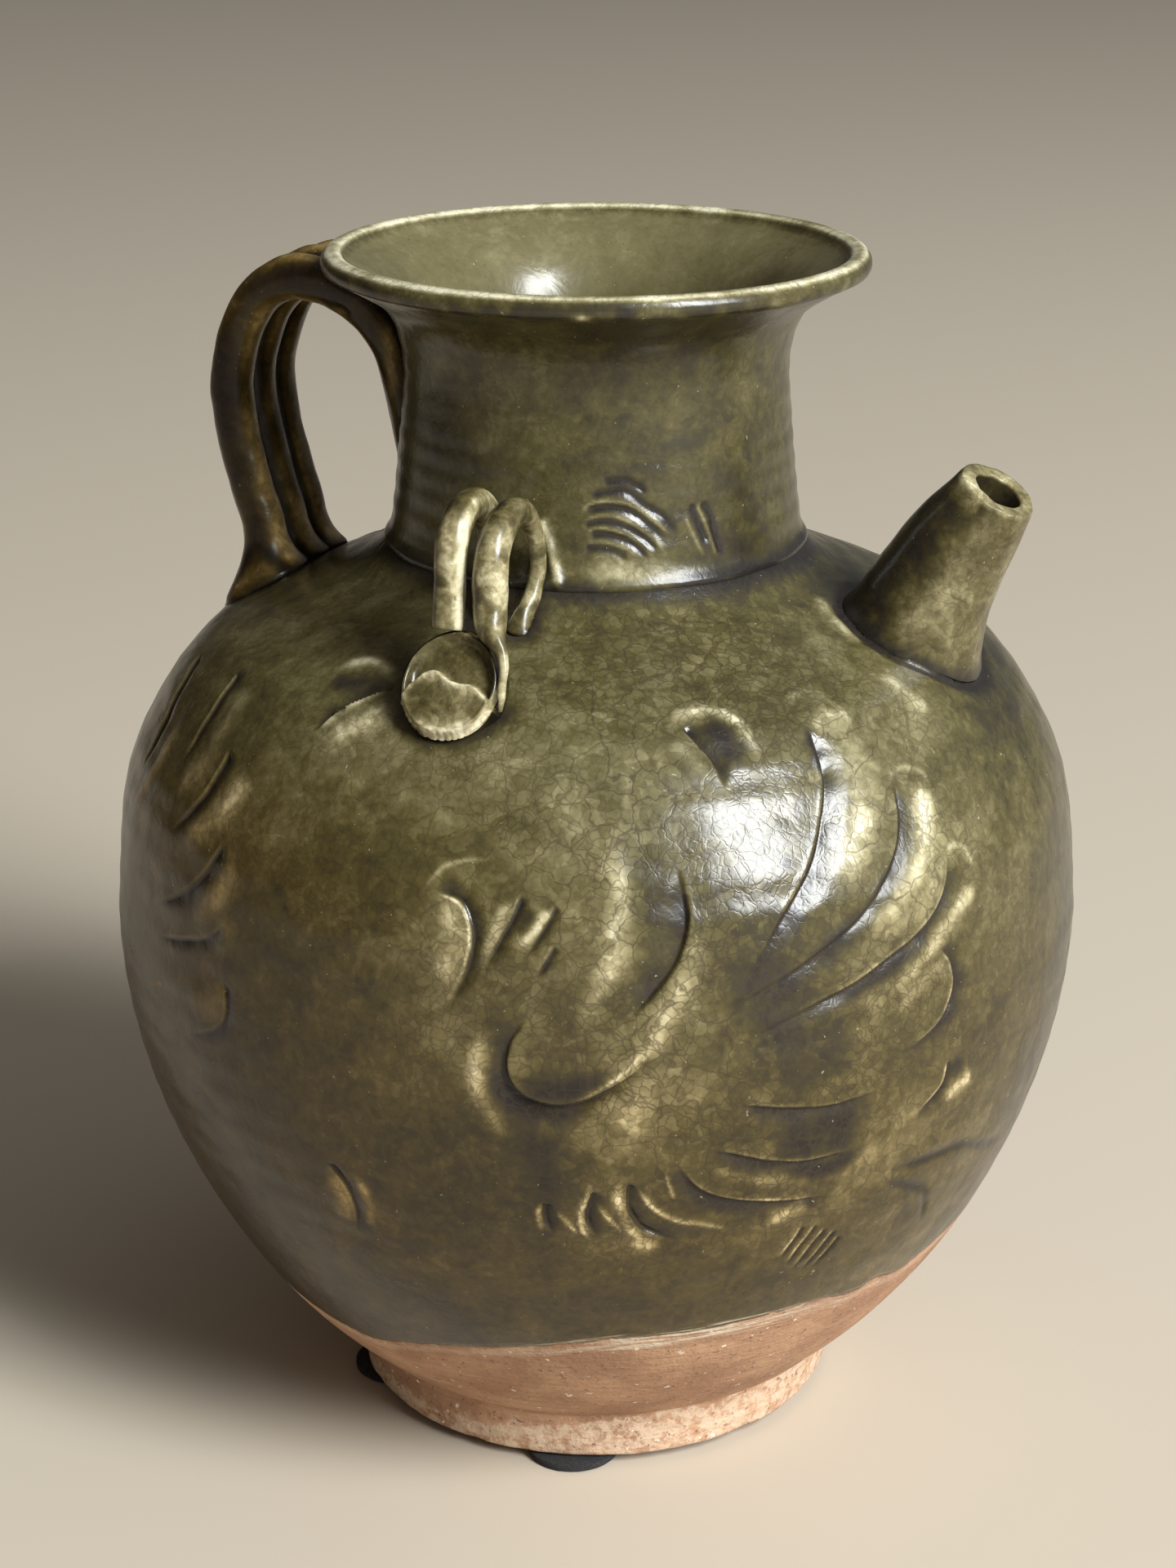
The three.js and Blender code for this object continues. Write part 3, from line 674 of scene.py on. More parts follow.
COMB_GROOVES = [("comb", 0.65, 0.26, 0, path) for path in (
    [(-66, 194.2), (-64, 194.5), (-60, 194.5), (-57, 193.7), (-53.5, 192.4)],
    [(-70, 192), (-66, 192.7), (-62, 193), (-59, 192.6), (-56, 191.2), (-53, 189.9), (-50, 188.8),
     (-47.5, 187), (-44.5, 185.4)],
    [(-71, 189.8), (-65, 190.4), (-60, 189.9), (-57, 189), (-54, 187.6), (-51, 186.1), (-49, 184.6)],
    [(-71.5, 187.6), (-65, 188.1), (-60, 187.3), (-57, 186.3), (-54, 184.9), (-51, 182.9)],
    [(-70, 186), (-65, 186.1), (-60, 185.1), (-57, 184.1), (-53.5, 182)],
    [(-71, 184), (-66, 183.9), (-62, 183.2), (-59, 181.9)],
    [(-41, 190.2), (-39.8, 188.3), (-38.3, 186), (-36.4, 183.2)],
    [(-37.5, 190.3), (-36.3, 189), (-34.5, 187), (-33.5, 184), (-31.6, 181)])]
NECK_SLIP = [
    ("rib", 0.9, 0.7, 0.9, [(-83.4, 188.5), (-81.3, 185.3), (-79.2, 181), (-77.4, 177.6)]),
    ("stain", 3.6, 0, 0.6, [(-75, 179.2), (-66, 180.2), (-58, 179.5), (-50, 179), (-40, 179.2)])]
print(len(COMB_ARCS + COMB_GROOVES + NECK_SLIP), "marks on the neck")

# %% Neck: throw it
NECK_SIDES = 340
NECK_WALL = 4.6
LIP_RADIUS, LIP_MIDDLE = 2.0, (42.6, 197.93)
COMBED_HEIGHT = 20.5

lip_turn = np.radians(np.linspace(-35, 150, 15))
lip = LIP_MIDDLE + LIP_RADIUS * np.stack([np.cos(lip_turn), np.sin(lip_turn)], axis=1)
low_marks = np.linspace(0, COMBED_HEIGHT, 50, endpoint=False)
high_marks = np.linspace(COMBED_HEIGHT, neck_length[-1] - neck_length[0] - 1.2, 24)
neck_outside = even_steps(neck_line, np.concatenate([low_marks, high_marks]))
bore = even_steps(neck_line, np.linspace(0.4, 45, 22))
bore_wall = NECK_WALL * np.interp(bore[:, 1], [186, 195], [1, 0.66])
bore = (bore - out_at(bore[:, 1]) * bore_wall[:, None])[::-1]
neck_foot = (34.0, NECK_BASE - 1.6)
neck_outline = [neck_foot, *neck_outside, *lip, (39.6, 198.0), *bore[bore[:, 1] < 197],
                (29.8, NECK_BASE - 0.2), neck_foot]
neck = throw("jug_neck", neck_outline, NECK_SIDES)
print("neck thrown with", len(neck.data.vertices), "points")

# %% [markdown]
# The columns of its mesh are drawn together towards the combed front. Then the comb marks are cut,
# faint rings are left by the fingers, and a fillet of slip is pressed into the joint.

# %% Neck: comb it and join it
COMBED_FRONT = math.radians(-54)

points = points_of(neck)
turn, radius, height = round_places(points)
turn = turn - 0.5 * np.sin(turn - COMBED_FRONT)
turn = (turn + math.pi) % (2 * math.pi) - math.pi
degrees = np.degrees(turn)
up = np.interp(height, neck_line[:, 1], neck_length)
skin = (abs(radius - radius_at(neck_line, height)) < 0.05) & (height < 196)
layers = np.zeros((4, len(points)))
layers[:, skin] = carve(degrees[skin], up[skin], radius[skin], COMB_ARCS + COMB_GROOVES + NECK_SLIP)
depth, raised, pool, thin = layers
round_points = in_space(turn, radius, points[:, 2])
over_joint = up - body_length[-1]
rings = 0.06 * np.sin(height * 1.6 + 0.7 * np.sin(turn + 1)) + 0.16 * uneven(round_points, 26, 3.0)
radius = radius - (depth - raised)
radius = radius + np.where(height < 195, rings * smoothstep(0, 4, over_joint), 0.5 * rings - 0.05)
fillet = 0.9 * swell(over_joint, 0, 1.25) * (0.9 + 0.3 * uneven(round_points, 9, 7.0))
radius = radius + fillet * (height < 170) * (radius > 31)
move_points(neck, in_space(turn, radius, points[:, 2]))

blotch = uneven(round_points, 3.5, 11.0)
crest = swell(height, 199.65, 0.42) * (1.0 + 0.2 * blotch)
lip_face = swell(height, 197.2, 1.5) * smoothstep(42.5, 43.6, radius)
chip = swell(degrees, -70.5, 2.2) * swell(height, 196.9, 0.7) * (radius > 42.5)
inside = (radius < radius_at(neck_line, height) - 2.5) | ((radius < 40.5) & (height > 196))
thin = np.maximum.reduce([thin, crest, lip_face * (0.08 + 0.6 * blotch), chip,
                          0.18 * inside * smoothstep(180, 192, height)])
shaded = 0.14 + 0.16 * smoothstep(0.1, 1, np.cos(turn)) * (height < 196) + 0.25 * lip_face
mark(neck, pool=pool + shaded * ~inside * (1 - thin), thin=thin, above_line=GLAZED,
     crackle=np.where(inside, 0.1, 0.5))

# %% [markdown]
# ## The foot ring
# The foot was turned from the same clay with a blunt tool, then worn pale by a long life on
# shelves. The wall is uneven, its lower edge is chipped, and it has no glaze.

# %% Foot ring
FOOT_SIDES = 300

foot_wall = np.stack([np.linspace(41.95, 43.6, 16), np.linspace(0.9, FOOT_TOP + 0.1, 16)], axis=1)
foot_outline = [(36, 0), (38, 0), (40, 0), (41.2, 0.1), (41.7, 0.45), *foot_wall, (39, FOOT_TOP + 0.1),
                (33.8, FOOT_TOP - 0.4), (33.8, 1), (34.6, 0.1), (36, 0)]
foot = throw("jug_foot", foot_outline, FOOT_SIDES)
points = points_of(foot)
turn, radius, height = round_places(points)
outer = smoothstep(39, 41.5, radius)
rough = 0.2 * uneven(points, 9) + 0.16 * uneven(points, 2.2, 4.0)
chips = 0.8 * np.clip(uneven(points, 4.5, 9.0) - 0.18, 0, 1) * swell(height, 0.4, 1.3)
turned_rings = 0.04 * np.sin(height * 2.4)
points[:, :2] *= (1 - outer * (0.22 - rough - turned_rings + chips) / radius)[:, None]
move_points(foot, points)
spout_side = smoothstep(-0.1, 0.9, np.cos(turn + math.radians(15)))
worn_top = 4.6 + 4.6 * spout_side + 1.6 * uneven(points, 8, 2.0)
mark(foot, worn=(0.27 + 0.25 * smoothstep(worn_top + 1.2, worn_top - 1.0, height)) * outer)
print("foot ring is", (2 * np.hypot(points[:, 0], points[:, 1]).max()).round(1), "mm across")

# %% [markdown]
# ## The spout
# A tapered tube of clay, pared into soft facets with a knife, cut off at a slant at the tip and
# luted over a hole in the shoulder. It is thrown upright here; each column of its mesh is then
# shortened so that the foot of the tube follows the shoulder, and the tube is leaned over.

# %% Spout: throw a tube
SPOUT_SIDES = 120
SPOUT_LEAN = math.radians(31.2)
SPOUT_ROOT = (52.7, 0.0, 140.0 + FOOT_LIFT)
SPOUT_TIP = 30.4

outer_side = smooth_line([(12.4, 0), (12.0, 3.5), (10.02, 12.35), (7.72, 22.9), (6.5, 29.5)], 14)
rim = [(6.48, 30.1), (6.42, 30.3), (6.28, 30.4), (5.9, 30.43), (5.2, 30.43), (4.5, 30.43),
       (4.2, 30.35), (4.08, 30.15), (4.05, 29.7)]
inner_side = smooth_line([(4.0, 28.6), (4.0, 23.5), (4.9, 14.7), (6.6, 6), (7.2, 0)], 8)
spout_outline = [*outer_side, *rim, *inner_side, (10, 0), tuple(outer_side[0])]
spout = throw("jug_spout", spout_outline, SPOUT_SIDES, lift=0)
lean = np.array(Matrix.Rotation(SPOUT_LEAN, 3, "Y"))


def leaned(turn, radius, along):
    return in_space(turn, radius, along) @ lean.T + SPOUT_ROOT


print("tube thrown with", len(spout.data.vertices), "points")

# %% [markdown]
# The tube's lower end is found column by column: the first place along it that lies just under the
# pot's skin. Its wall is then pared, swelled a little downhill, and cut and chipped at the tip.

# %% Spout: fit it to the shoulder and pare it
DOWNHILL, UPHILL = math.radians(22), math.radians(-158)
SPOUT_CUT = math.radians(5)
FACETS = np.radians([-160, -112, -58, -12, 34, 92, 140])
SPOUT_TAPER = smooth_line([(12.3, -6), (11.4, 0), (9.85, 10.9), (7.95, 22.3), (6.5, 30.4)], 12)


def facing(turn, towards, low=0.0, high=1.0):
    """1 on the side that looks one way round the tube, 0 on the other side."""
    return smoothstep(low, high, np.cos(turn - towards))


points = points_of(spout)
turn, radius, _ = round_places(points)
along = points[:, 2].copy()
pared = smoothstep(2, 9, along) * smoothstep(30, 26, along)
facet = np.max([np.cos(turn - middle) for middle in FACETS], axis=0)
outer_wall = (radius > radius_at(inner_side[::-1], along) + 0.8) & (along < 29.6)
ring_turns = np.radians(np.arange(-180, 181, 4))
tries = np.linspace(-8, 14, 221)
foot_along = []
for angle in ring_turns:
    reach = 11.6 + 2.7 * facing(angle, DOWNHILL) - 1.0 * facing(angle, UPHILL)
    away, _ = pot_place(leaned(angle, reach, tries))
    foot_along.append(tries[np.flatnonzero(away > -0.45)[0]])
rise = np.interp(turn, ring_turns, foot_along)
along = rise + along * (SPOUT_TIP - rise) / SPOUT_TIP
place = in_space(turn, radius, along)
uphill_swell = (0.6 * swell(along, 20, 6.5) - 1.2 * swell(along, 0, 8)) * facing(turn, UPHILL)
downhill_swell = 3.2 * swell(along, 0, 8.5) * facing(turn, DOWNHILL)
tapered = radius_at(SPOUT_TAPER, along) + uphill_swell + downhill_swell
radius = np.where(outer_wall, tapered * (1 - 0.015 * pared * (facet - 0.9) / 0.1), radius)
near_tip, at_tip = smoothstep(25.5, 28.5, along), smoothstep(28.8, 30.3, along)
chipped = 0.35 * np.clip(uneven(place, 2.2, 8.0), -0.2, 1) * smoothstep(29, 30.3, along)
along = along + math.tan(SPOUT_CUT) * radius * np.sin(turn) * smoothstep(20, 30, along) - chipped
radius = radius + 0.14 * uneven(place, 5, 1.0) - 0.2 * chipped
flare = 0.5 * swell(along, rise, 1.5) * (radius > 9)
move_points(spout, leaned(turn, radius + flare, along))

shaded = facing(turn, math.radians(-155), 0.1, 0.95) * smoothstep(30, 28, along) * outer_wall
tip_wear = smoothstep(0.55, 0.95, at_tip + 0.25 * uneven(place, 1.6, 3.0))
tip_wear *= (0.6 + 0.5 * uneven(place, 2.0, 5.0)) * (0.5 + 0.4 * facing(turn, math.radians(-105), 0.2, 0.9))
chip = near_tip * smoothstep(0.75, 0.95, np.cos(turn + math.radians(128)) + 0.06 * uneven(place, 1.5))
bore_side = (np.hypot(place[:, 0], place[:, 1]) < 5.0) & (place[:, 2] < 30)
thin = np.maximum.reduce([(0.12 + 0.15 * uneven(place, 5, 8.0)) * (1 - shaded), tip_wear, 0.8 * chip])
mark(spout, pool=0.5 * shaded + 0.6 * bore_side, thin=thin, crackle=0.55)
print("spout rises to", points_of(spout)[:, 2].max().round(1), "mm")

# %% [markdown]
# ## Rolled clay
# Handle and lugs are rolls of clay bent by hand. Each starts as a curve with a round bevel, whose
# radius may change from point to point, and is turned into a mesh. The hand makes it uneven, and
# where a roll meets the pot its foot is spread and pressed on with slip.

# %% A roll of clay
def bent(points, spacing):
    """An even line through points in space that keeps a steady bend between unevenly spaced ones."""
    points = np.asarray(points, float)
    ends = np.vstack([2 * points[0] - points[1], points, 2 * points[-1] - points[-2]])
    strides = np.linalg.norm(np.diff(ends, axis=0), axis=1) ** 0.5 + 1e-6
    share = np.linspace(0, 1, 24, endpoint=False)[:, None]
    pieces = []
    for k in range(len(points) - 1):
        before, here, there, after = ends[k:k + 4]
        first, middle, last = strides[k:k + 3]
        ahead = (there - here) / middle
        leave = middle * ((here - before) / first - (there - before) / (first + middle) + ahead)
        arrive = middle * (ahead - (after - here) / (middle + last) + (after - there) / last)
        pieces.append(arc(here, there, leave, arrive, share))
    return even_steps(np.vstack(pieces + [points[-1:]]), spacing)


def roll_clay(name, path, radii, sides):
    """A bevelled curve along a path, made a mesh. Radii are given for even shares of the path."""
    curve = bpy.data.curves.new(name, "CURVE")
    curve.dimensions = "3D"
    curve.bevel_depth = MM
    curve.bevel_resolution = sides // 2 - 2
    curve.use_fill_caps = True
    spline = curve.splines.new("POLY")
    spline.points.add(len(path) - 1)
    radii = np.interp(np.linspace(0, 1, len(path)), np.linspace(0, 1, len(radii)), radii)
    for point, place, radius in zip(spline.points, path, radii):
        point.co = (*(place * MM), 1)
        point.radius = radius
    piece = bpy.data.objects.new(name, curve)
    bpy.context.collection.objects.link(piece)
    take(piece)
    bpy.ops.object.convert(target="MESH")
    bpy.ops.object.mode_set(mode="EDIT")
    close_up(merge=0.01)
    return bpy.context.object


def nearest_on(path, points):
    """For each point, the number of the nearest point of a path."""
    return np.argmin(((points[:, None] - path[None]) ** 2).sum(axis=2), axis=1)


def press_on(piece, path, spread, reach, seed, rough):
    """Makes a roll uneven, spreads its feet on the pot, and keeps its ends just under the skin."""
    points = points_of(piece)
    nearest = nearest_on(path, points)
    arm = points - path[nearest]
    arm /= np.maximum(np.linalg.norm(arm, axis=1), 1e-6)[:, None]
    bumps = rough * uneven(points, 6, seed) + 0.4 * rough * uneven(points, 2.2, seed + 7)
    points = points + arm * bumps[:, None]
    away, out = pot_place(points)
    along_skin = arm - (arm * out).sum(axis=1)[:, None] * out
    foot_share = np.clip(1 - np.maximum(away, 0) / reach, 0, 1) ** 2
    points = points + along_skin * (spread * foot_share)[:, None]
    away, out = pot_place(points)
    points = points + out * np.maximum(-0.35 - away, 0)[:, None]
    move_points(piece, points)
    return points, np.linspace(0, 1, len(path))[nearest]


# %% [markdown]
# ## The strap handle
# Three rolls lie side by side. They spring from the neck under the lip, arch over and land on the
# shoulder. One path is drawn and used three times, a roll's width apart; each roll then gets its
# own small swellings, and the near one the two dents that a tool left in it.

# %% Handle
ROLL_PITCH = 7.7
TOOL_DENTS = [(-45.5, -11.0, 190.0), (-41.0, -11.0, 189.6)]
ROLL_SWELLING = [3.9, 3.75, 3.6, 3.7, 3.75, 3.65, 3.6, 3.7, 3.65, 3.6, 3.7, 3.9]
ROLLS = {"near": (-ROLL_PITCH, 0, 0), "middle": (0, 0.1, 0.25), "far": (6.9, 0.3, 0.25)}
handle_path = [(26.5, 163.5), (28.9, 169.5), (30.9, 176.5), (33.19, 182.98), (37.96, 188.57),
               (45.27, 191.95), (52.02, 192.3), (57.61, 189.01), (61.4, 182.52), (63.4, 173.5),
               (62.38, 164.29), (60.19, 155.4), (58.3, 148.95), (58.3, 136.7)]

handle = []
for index, (name, (side, lowered, thicker)) in enumerate(ROLLS.items()):
    path = [(-radius, side, height + FOOT_LIFT - lowered * smoothstep(176, 190, height))
            for radius, height in handle_path]
    path = bent(path, 0.9)
    roll = roll_clay(f"jug_handle_{name}", path, np.roll(ROLL_SWELLING, index) + thicker, 26)
    points, _ = press_on(roll, path, spread=4.2, reach=7.5, seed=index * 3.1, rough=0.2)
    if name == "near":
        for place in TOOL_DENTS:
            gap = np.linalg.norm((points - place) / (1.9, 2.2, 1.0), axis=1)
            points[:, 1] += 0.9 * swell(gap, 0, 1)
        move_points(roll, points)
    between = np.clip(1 - abs(abs(points[:, 1] - side) - ROLL_PITCH / 2) / 1.6, 0, 1)
    streak = np.clip(0.3 + 0.6 * uneven(points, 7, 30.0 + index), 0, 0.6)
    streak += 0.3 * smoothstep(160, 152, points[:, 2])
    mark(roll, pool=0.6 * between, thin=streak * (1 - between), crackle=0.3)
    handle.append(roll)
print("handle's rolls:", [roll.name for roll in handle])

# %% [markdown]
# ## The lugs
# Each lug is a pair of coils that rise beside the neck, arch over and come down on the shoulder.
# The left coil ends in a flat cut on top of the button. The right one thins where it leans on the
# neck, and was pulled out into a thin tail down the button's right side. The rows give place and
# thickness. The lug on the hidden side is taken to be the same, turned half round the pot.

# %% Lug coils
VIEW_RIGHT = (0.927, 0.375, 0.0)
LEFT_COIL = [(-2.0, -38.9, 145, 2.2), (-1.9, -38.6, 151.5, 2.1), (-2.0, -38.3, 155.4, 2.1),
             (-2.1, -38.5, 160.4, 2.2), (-2.1, -39.5, 164.2, 2.3), (-2.1, -42.3, 166.9, 2.4),
             (-2.1, -46.0, 167.9, 2.45), (-2.1, -49.8, 166.9, 2.5), (-2.1, -52.5, 164.2, 2.5),
             (-2.1, -53.5, 160.4, 2.5), (-2.1, -53.9, 156.5, 2.45), (-2.0, -54.6, 153.0, 2.45),
             (-1.9, -55.4, 150.6, 2.4)]
RIGHT_COIL = [(3.3, -40.8, 146.3, 1.5), (3.7, -39.8, 149.0, 1.45), (4.3, -37.3, 151.6, 1.4),
              (4.5, -35.5, 155.2, 1.3), (4.6, -35.7, 159.2, 1.3), (4.5, -37.8, 163.4, 1.5),
              (4.5, -41.2, 166.1, 2.0), (4.5, -45.5, 166.9, 2.4), (4.5, -49.6, 165.6, 2.55),
              (4.45, -52.4, 162.6, 2.65), (4.45, -53.5, 159.0, 2.7), (4.5, -53.8, 156.0, 2.7),
              (4.75, -54.3, 153.6, 2.65), (5.5, -55.5, 151.7, 2.4), (7.0, -57.2, 150.2, 1.5),
              (8.3, -58.1, 148.8, 0.9), (9.1, -59.2, 146.9, 0.75), (9.1, -60.05, 144.4, 0.7),
              (8.95, -60.2, 142.1, 0.65), (8.6, -59.9, 140.4, 0.35)]

coils = []
for name, places, seed in (("left", LEFT_COIL, 4.0), ("right", RIGHT_COIL, 5.0)):
    path = bent([(x, y, z + FOOT_LIFT, r) for x, y, z, r in places], 0.6)
    path, radii = path[:, :3], path[:, 3]
    coil = roll_clay(f"lug_coil_{name}", path, radii, 22)
    points, share = press_on(coil, path, spread=0.5, reach=2.2, seed=seed, rough=0.16)
    nearest = nearest_on(path, points)
    brown = smoothstep(0.0, 0.45, uneven(points, 2.6, seed + 20)) * (share < 0.86)
    thin = 0.3 + 0.2 * uneven(points, 2.0, seed) - 0.25 * brown
    pool = 0.3 * brown
    if name == "left":
        # Painted highlight: the left coil's right flank, where the window's reflection falls, is made pale.
        flank = ((points - path[nearest]) @ VIEW_RIGHT) / radii[nearest]
        bright_flank = smoothstep(0.3, 0.6, flank) * smoothstep(1.0, 0.85, flank)
        thin += 0.7 * bright_flank
        pool *= 1 - bright_flank
    else:
        thin += 0.5 * smoothstep(0.84, 0.9, share)
        thin -= 0.2 * smoothstep(158, 152, points[:, 2]) * (points[:, 1] < -50) * (share < 0.86)
    mark(coil, pool=pool, thin=np.clip(thin, 0, 1), crackle=0.3)
    coils.append(coil)
print("coils rolled,", len(coils))

# %% [markdown]
# The button that holds the coils is a flattened ball of clay pressed on with a thumb. The thumb
# hollowed its upper half and pushed up a ragged crest across the middle, and the lower half stayed
# full. A grid is rounded into a disc, its top shaped point by point, and its edge extruded down.

# %% Lug button: a block of clay
BUTTON_EDGE, BUTTON_THICKNESS = 1.2, 4.6

let_go()
bpy.ops.mesh.primitive_grid_add(x_subdivisions=66, y_subdivisions=66, size=2 * MM)
button = settle(bpy.context.object, "lug_button")
bpy.ops.object.mode_set(mode="EDIT")
select_points()
bpy.ops.mesh.region_to_loop()
for drop in (BUTTON_EDGE, BUTTON_THICKNESS - BUTTON_EDGE):
    bpy.ops.mesh.extrude_edges_move(TRANSFORM_OT_translate={"value": (0, 0, -drop * MM)})
bpy.ops.mesh.edge_face_add()
close_up()
print("block of", len(button.data.vertices), "points")

# %% Lug button: press it
BUTTON_RADIUS, BUTTON_LENGTH = 8.05, 8.6
BUTTON_TILT = math.radians(54)
BUTTON_CENTRE = (0.8, -61.15, 144.2 + FOOT_LIFT)
NOTCHED_SIDE = math.radians(245)
CREST = np.array([(-1, -0.5), (-0.85, -0.3), (-0.76, -0.17), (-0.66, -0.03), (-0.5, 0.12), (-0.35, 0.17),
                  (-0.2, 0.16), (-0.05, 0.08), (0.05, 0.03), (0.26, 0.0), (0.45, 0.02), (0.6, -0.03),
                  (0.8, -0.16), (1, -0.3)])

points = points_of(button)
flat_x, flat_y, level = points.T
x, y = flat_x * np.sqrt(1 - flat_y ** 2 / 2), flat_y * np.sqrt(1 - flat_x ** 2 / 2)
out, angle = np.hypot(x, y), np.arctan2(y, x)
top = level > -0.1
grain = uneven(np.column_stack([x, y, 0 * x]) * 8, 2.2, 2.0)
above_crest = y - (np.interp(x, *CREST.T) + 0.05 * grain)
full = smoothstep(0.05, -0.03, above_crest)
hollow = -1.5 * (1 - full) * smoothstep(0.98, 0.72, out)
swelling = full * (0.6 * swell(above_crest, 0, 0.16) + 0.5 * (1 - out ** 2))
rim = 0.35 * swell(out, 0.93, 0.05)
rounding = -1.6 * smoothstep(0.86, 1.0, out) ** 2
pressed = level + top * (hollow + swelling + rim + rounding + 0.14 * grain)
notches = np.clip(np.sin(angle * 37 + 3 * np.sin(angle * 5)), 0, 1)
notches *= 0.018 * smoothstep(0.3, 0.9, np.cos(angle - NOTCHED_SIDE)) * smoothstep(0.8, 1, out)
ragged = uneven(np.column_stack([np.cos(angle), np.sin(angle), 0 * x]), 0.7)
bulge = np.where(pressed < -1.0, 1.02, 1.0) * (1 - notches) * (1 + 0.02 * ragged)
shaped = np.column_stack([x * BUTTON_RADIUS * bulge, y * BUTTON_LENGTH * bulge, pressed])
points = shaped @ np.array(Matrix.Rotation(BUTTON_TILT, 3, "X")).T + BUTTON_CENTRE
away, outward = pot_place(points)
move_points(button, points + outward * np.maximum(-0.4 - away, 0)[:, None])

sunk = top * smoothstep(0.0, 0.12, above_crest) * smoothstep(1.0, 0.85, out)
behind_crest = full * np.exp(-(np.maximum(-above_crest, 0) / 0.17) ** 1.4) * smoothstep(1.0, 0.8, out)
edge_light = 0.8 * swell(out, 0.96, 0.06) * top * (0.35 + 0.65 * smoothstep(0.2, -0.6, y))
lower_end = y + 0.12 * grain - 0.25 * x * smoothstep(0, 1, -y)
thin = np.maximum.reduce([behind_crest, edge_light, 0.8 * full * smoothstep(-0.4, -0.95, lower_end),
                          0.06 * sunk * (1 + grain)])
mark(button, pool=0.12 * full + 0.14 * sunk, thin=thin, crackle=0.4)
print("crest stands", swelling.max().round(2), "mm over the disc")

# %% [markdown]
# The far lug is a copy of the near one, turned half round the pot. Each copy keeps its own mesh.

# %% The second lug
def turned_copy(piece, name):
    copy = duplicate(piece)
    copy.rotation_euler = (0, 0, math.pi)
    return settle(copy, name)


far_coils = [turned_copy(coil, f"far_{coil.name}") for coil in coils]
far_button = turned_copy(button, "far_lug_button")
print("second lug:", [piece.name for piece in (*far_coils, far_button)])

# %% [markdown]
# ## The foot pads
# Small black pads were put under the foot in our time, to save the shelf. They are cut from felt,
# so the edge is soft and a little fuzzy. One is made and copied.

# %% Pads
PAD_RADIUS, PAD_THICKNESS, PAD_REACH = 8.0, 1.2, 36.2
PAD_ANGLES = (52, 132, 214, 286)

let_go()
bpy.ops.mesh.primitive_cylinder_add(vertices=72, radius=PAD_RADIUS * MM, depth=PAD_THICKNESS * MM,
                                    location=(0, 0, PAD_THICKNESS / 2 * MM), end_fill_type="NGON")
first_pad = settle(bpy.context.object, "felt_pad")
bevel = first_pad.modifiers.new("soft_edge", "BEVEL")
bevel.width, bevel.segments, bevel.limit_method = 0.3 * MM, 3, "ANGLE"
bpy.ops.object.modifier_apply(modifier=bevel.name)
points = points_of(first_pad)
fuzz = 0.12 * uneven(points, 1.1, 3.0) * smoothstep(5, 7.5, np.hypot(points[:, 0], points[:, 1]))
points[:, :2] *= (1 - 0.012 + fuzz / PAD_RADIUS)[:, None]
move_points(first_pad, points)
pads = []
for index, angle in enumerate(np.radians(PAD_ANGLES)):
    pad = duplicate(first_pad)
    pad.location = (PAD_REACH * MM * math.cos(angle), PAD_REACH * MM * math.sin(angle), 0)
    pads.append(settle(pad, f"felt_pad_{index + 1}"))
bpy.data.objects.remove(first_pad)
print(len(pads), "pads")

# %% [markdown]
# ## Where pieces meet
# Glaze gathers in the angle between two pieces and turns dark. For each point near a joint the
# distance to the neighbouring pieces is measured and stored.

# %% Creases
def tree_of(piece):
    corners = [tuple(p) for p in points_of(piece).tolist()]
    return BVHTree.FromPolygons(corners, [list(f.vertices) for f in piece.data.polygons])


def creases(piece, neighbours, reach, radius=0, low=-99, high=999):
    """1 where a point touches a neighbour, fading to 0 at the reach. Gives back the gaps."""
    points = points_of(piece)
    close = np.zeros(len(points))
    gaps = np.full(len(points), 99.0)
    away = np.hypot(points[:, 0], points[:, 1])
    chosen = np.flatnonzero((points[:, 2] > low) & (points[:, 2] < high) & (away > radius))
    for neighbour in neighbours:
        corners = points_of(neighbour)
        least, most = corners.min(axis=0) - reach, corners.max(axis=0) + reach
        near = chosen[((points[chosen] > least) & (points[chosen] < most)).all(axis=1)]
        for i in near:
            gap = trees[neighbour].find_nearest(points[i].tolist(), reach)[3]
            if gap is not None:
                close[i] = max(close[i], (1 - gap / reach) ** 1.5)
                gaps[i] = min(gaps[i], gap)
    mark(piece, crease=close)
    return gaps


lug_pieces = [*coils, button, *far_coils, far_button]
luted = [spout, *handle, *lug_pieces]
trees = {piece: tree_of(piece) for piece in (body, neck, *luted)}
gaps = creases(body, [neck, *luted], 3.4, radius=33.5, low=128)
creases(neck, [body, *handle, *lug_pieces], 2.2, radius=30.5, high=198)
creases(spout, [body], 2.8)
for roll in handle:
    creases(roll, [body, neck, *(other for other in handle if other is not roll)], 2.0)
for group_coils, group_button in ((coils, button), (far_coils, far_button)):
    for coil in group_coils:
        creases(coil, [body, neck], 1.2)
    creases(group_button, [body, *group_coils], 1.3)

points = points_of(body)
by_spout = (abs(points[:, 1]) < 22) & (points[:, 0] > 40)
moat = 0.6 * swell(gaps, 1.0, 0.8) * by_spout
move_points(body, points - pot_place(points)[1] * moat[:, None])
print("creases measured, moat beside the spout", moat.max().round(2), "mm deep")

# %% [markdown]
# ## Shader tools
# Materials are node trees. These helpers add a node, set it and wire it in one line, and let the
# outputs be added and multiplied like numbers, so that a material reads like a recipe.

# %% Node helpers
class Wire:
    """A node's output, which can be added, taken away and multiplied like a number."""

    def __init__(self, tree, socket):
        self.tree, self.socket = tree, socket

    def __add__(self, other):
        return reckon("ADD", self, other)

    def __sub__(self, other):
        return reckon("SUBTRACT", self, other)

    def __mul__(self, other):
        return reckon("MULTIPLY", self, other)


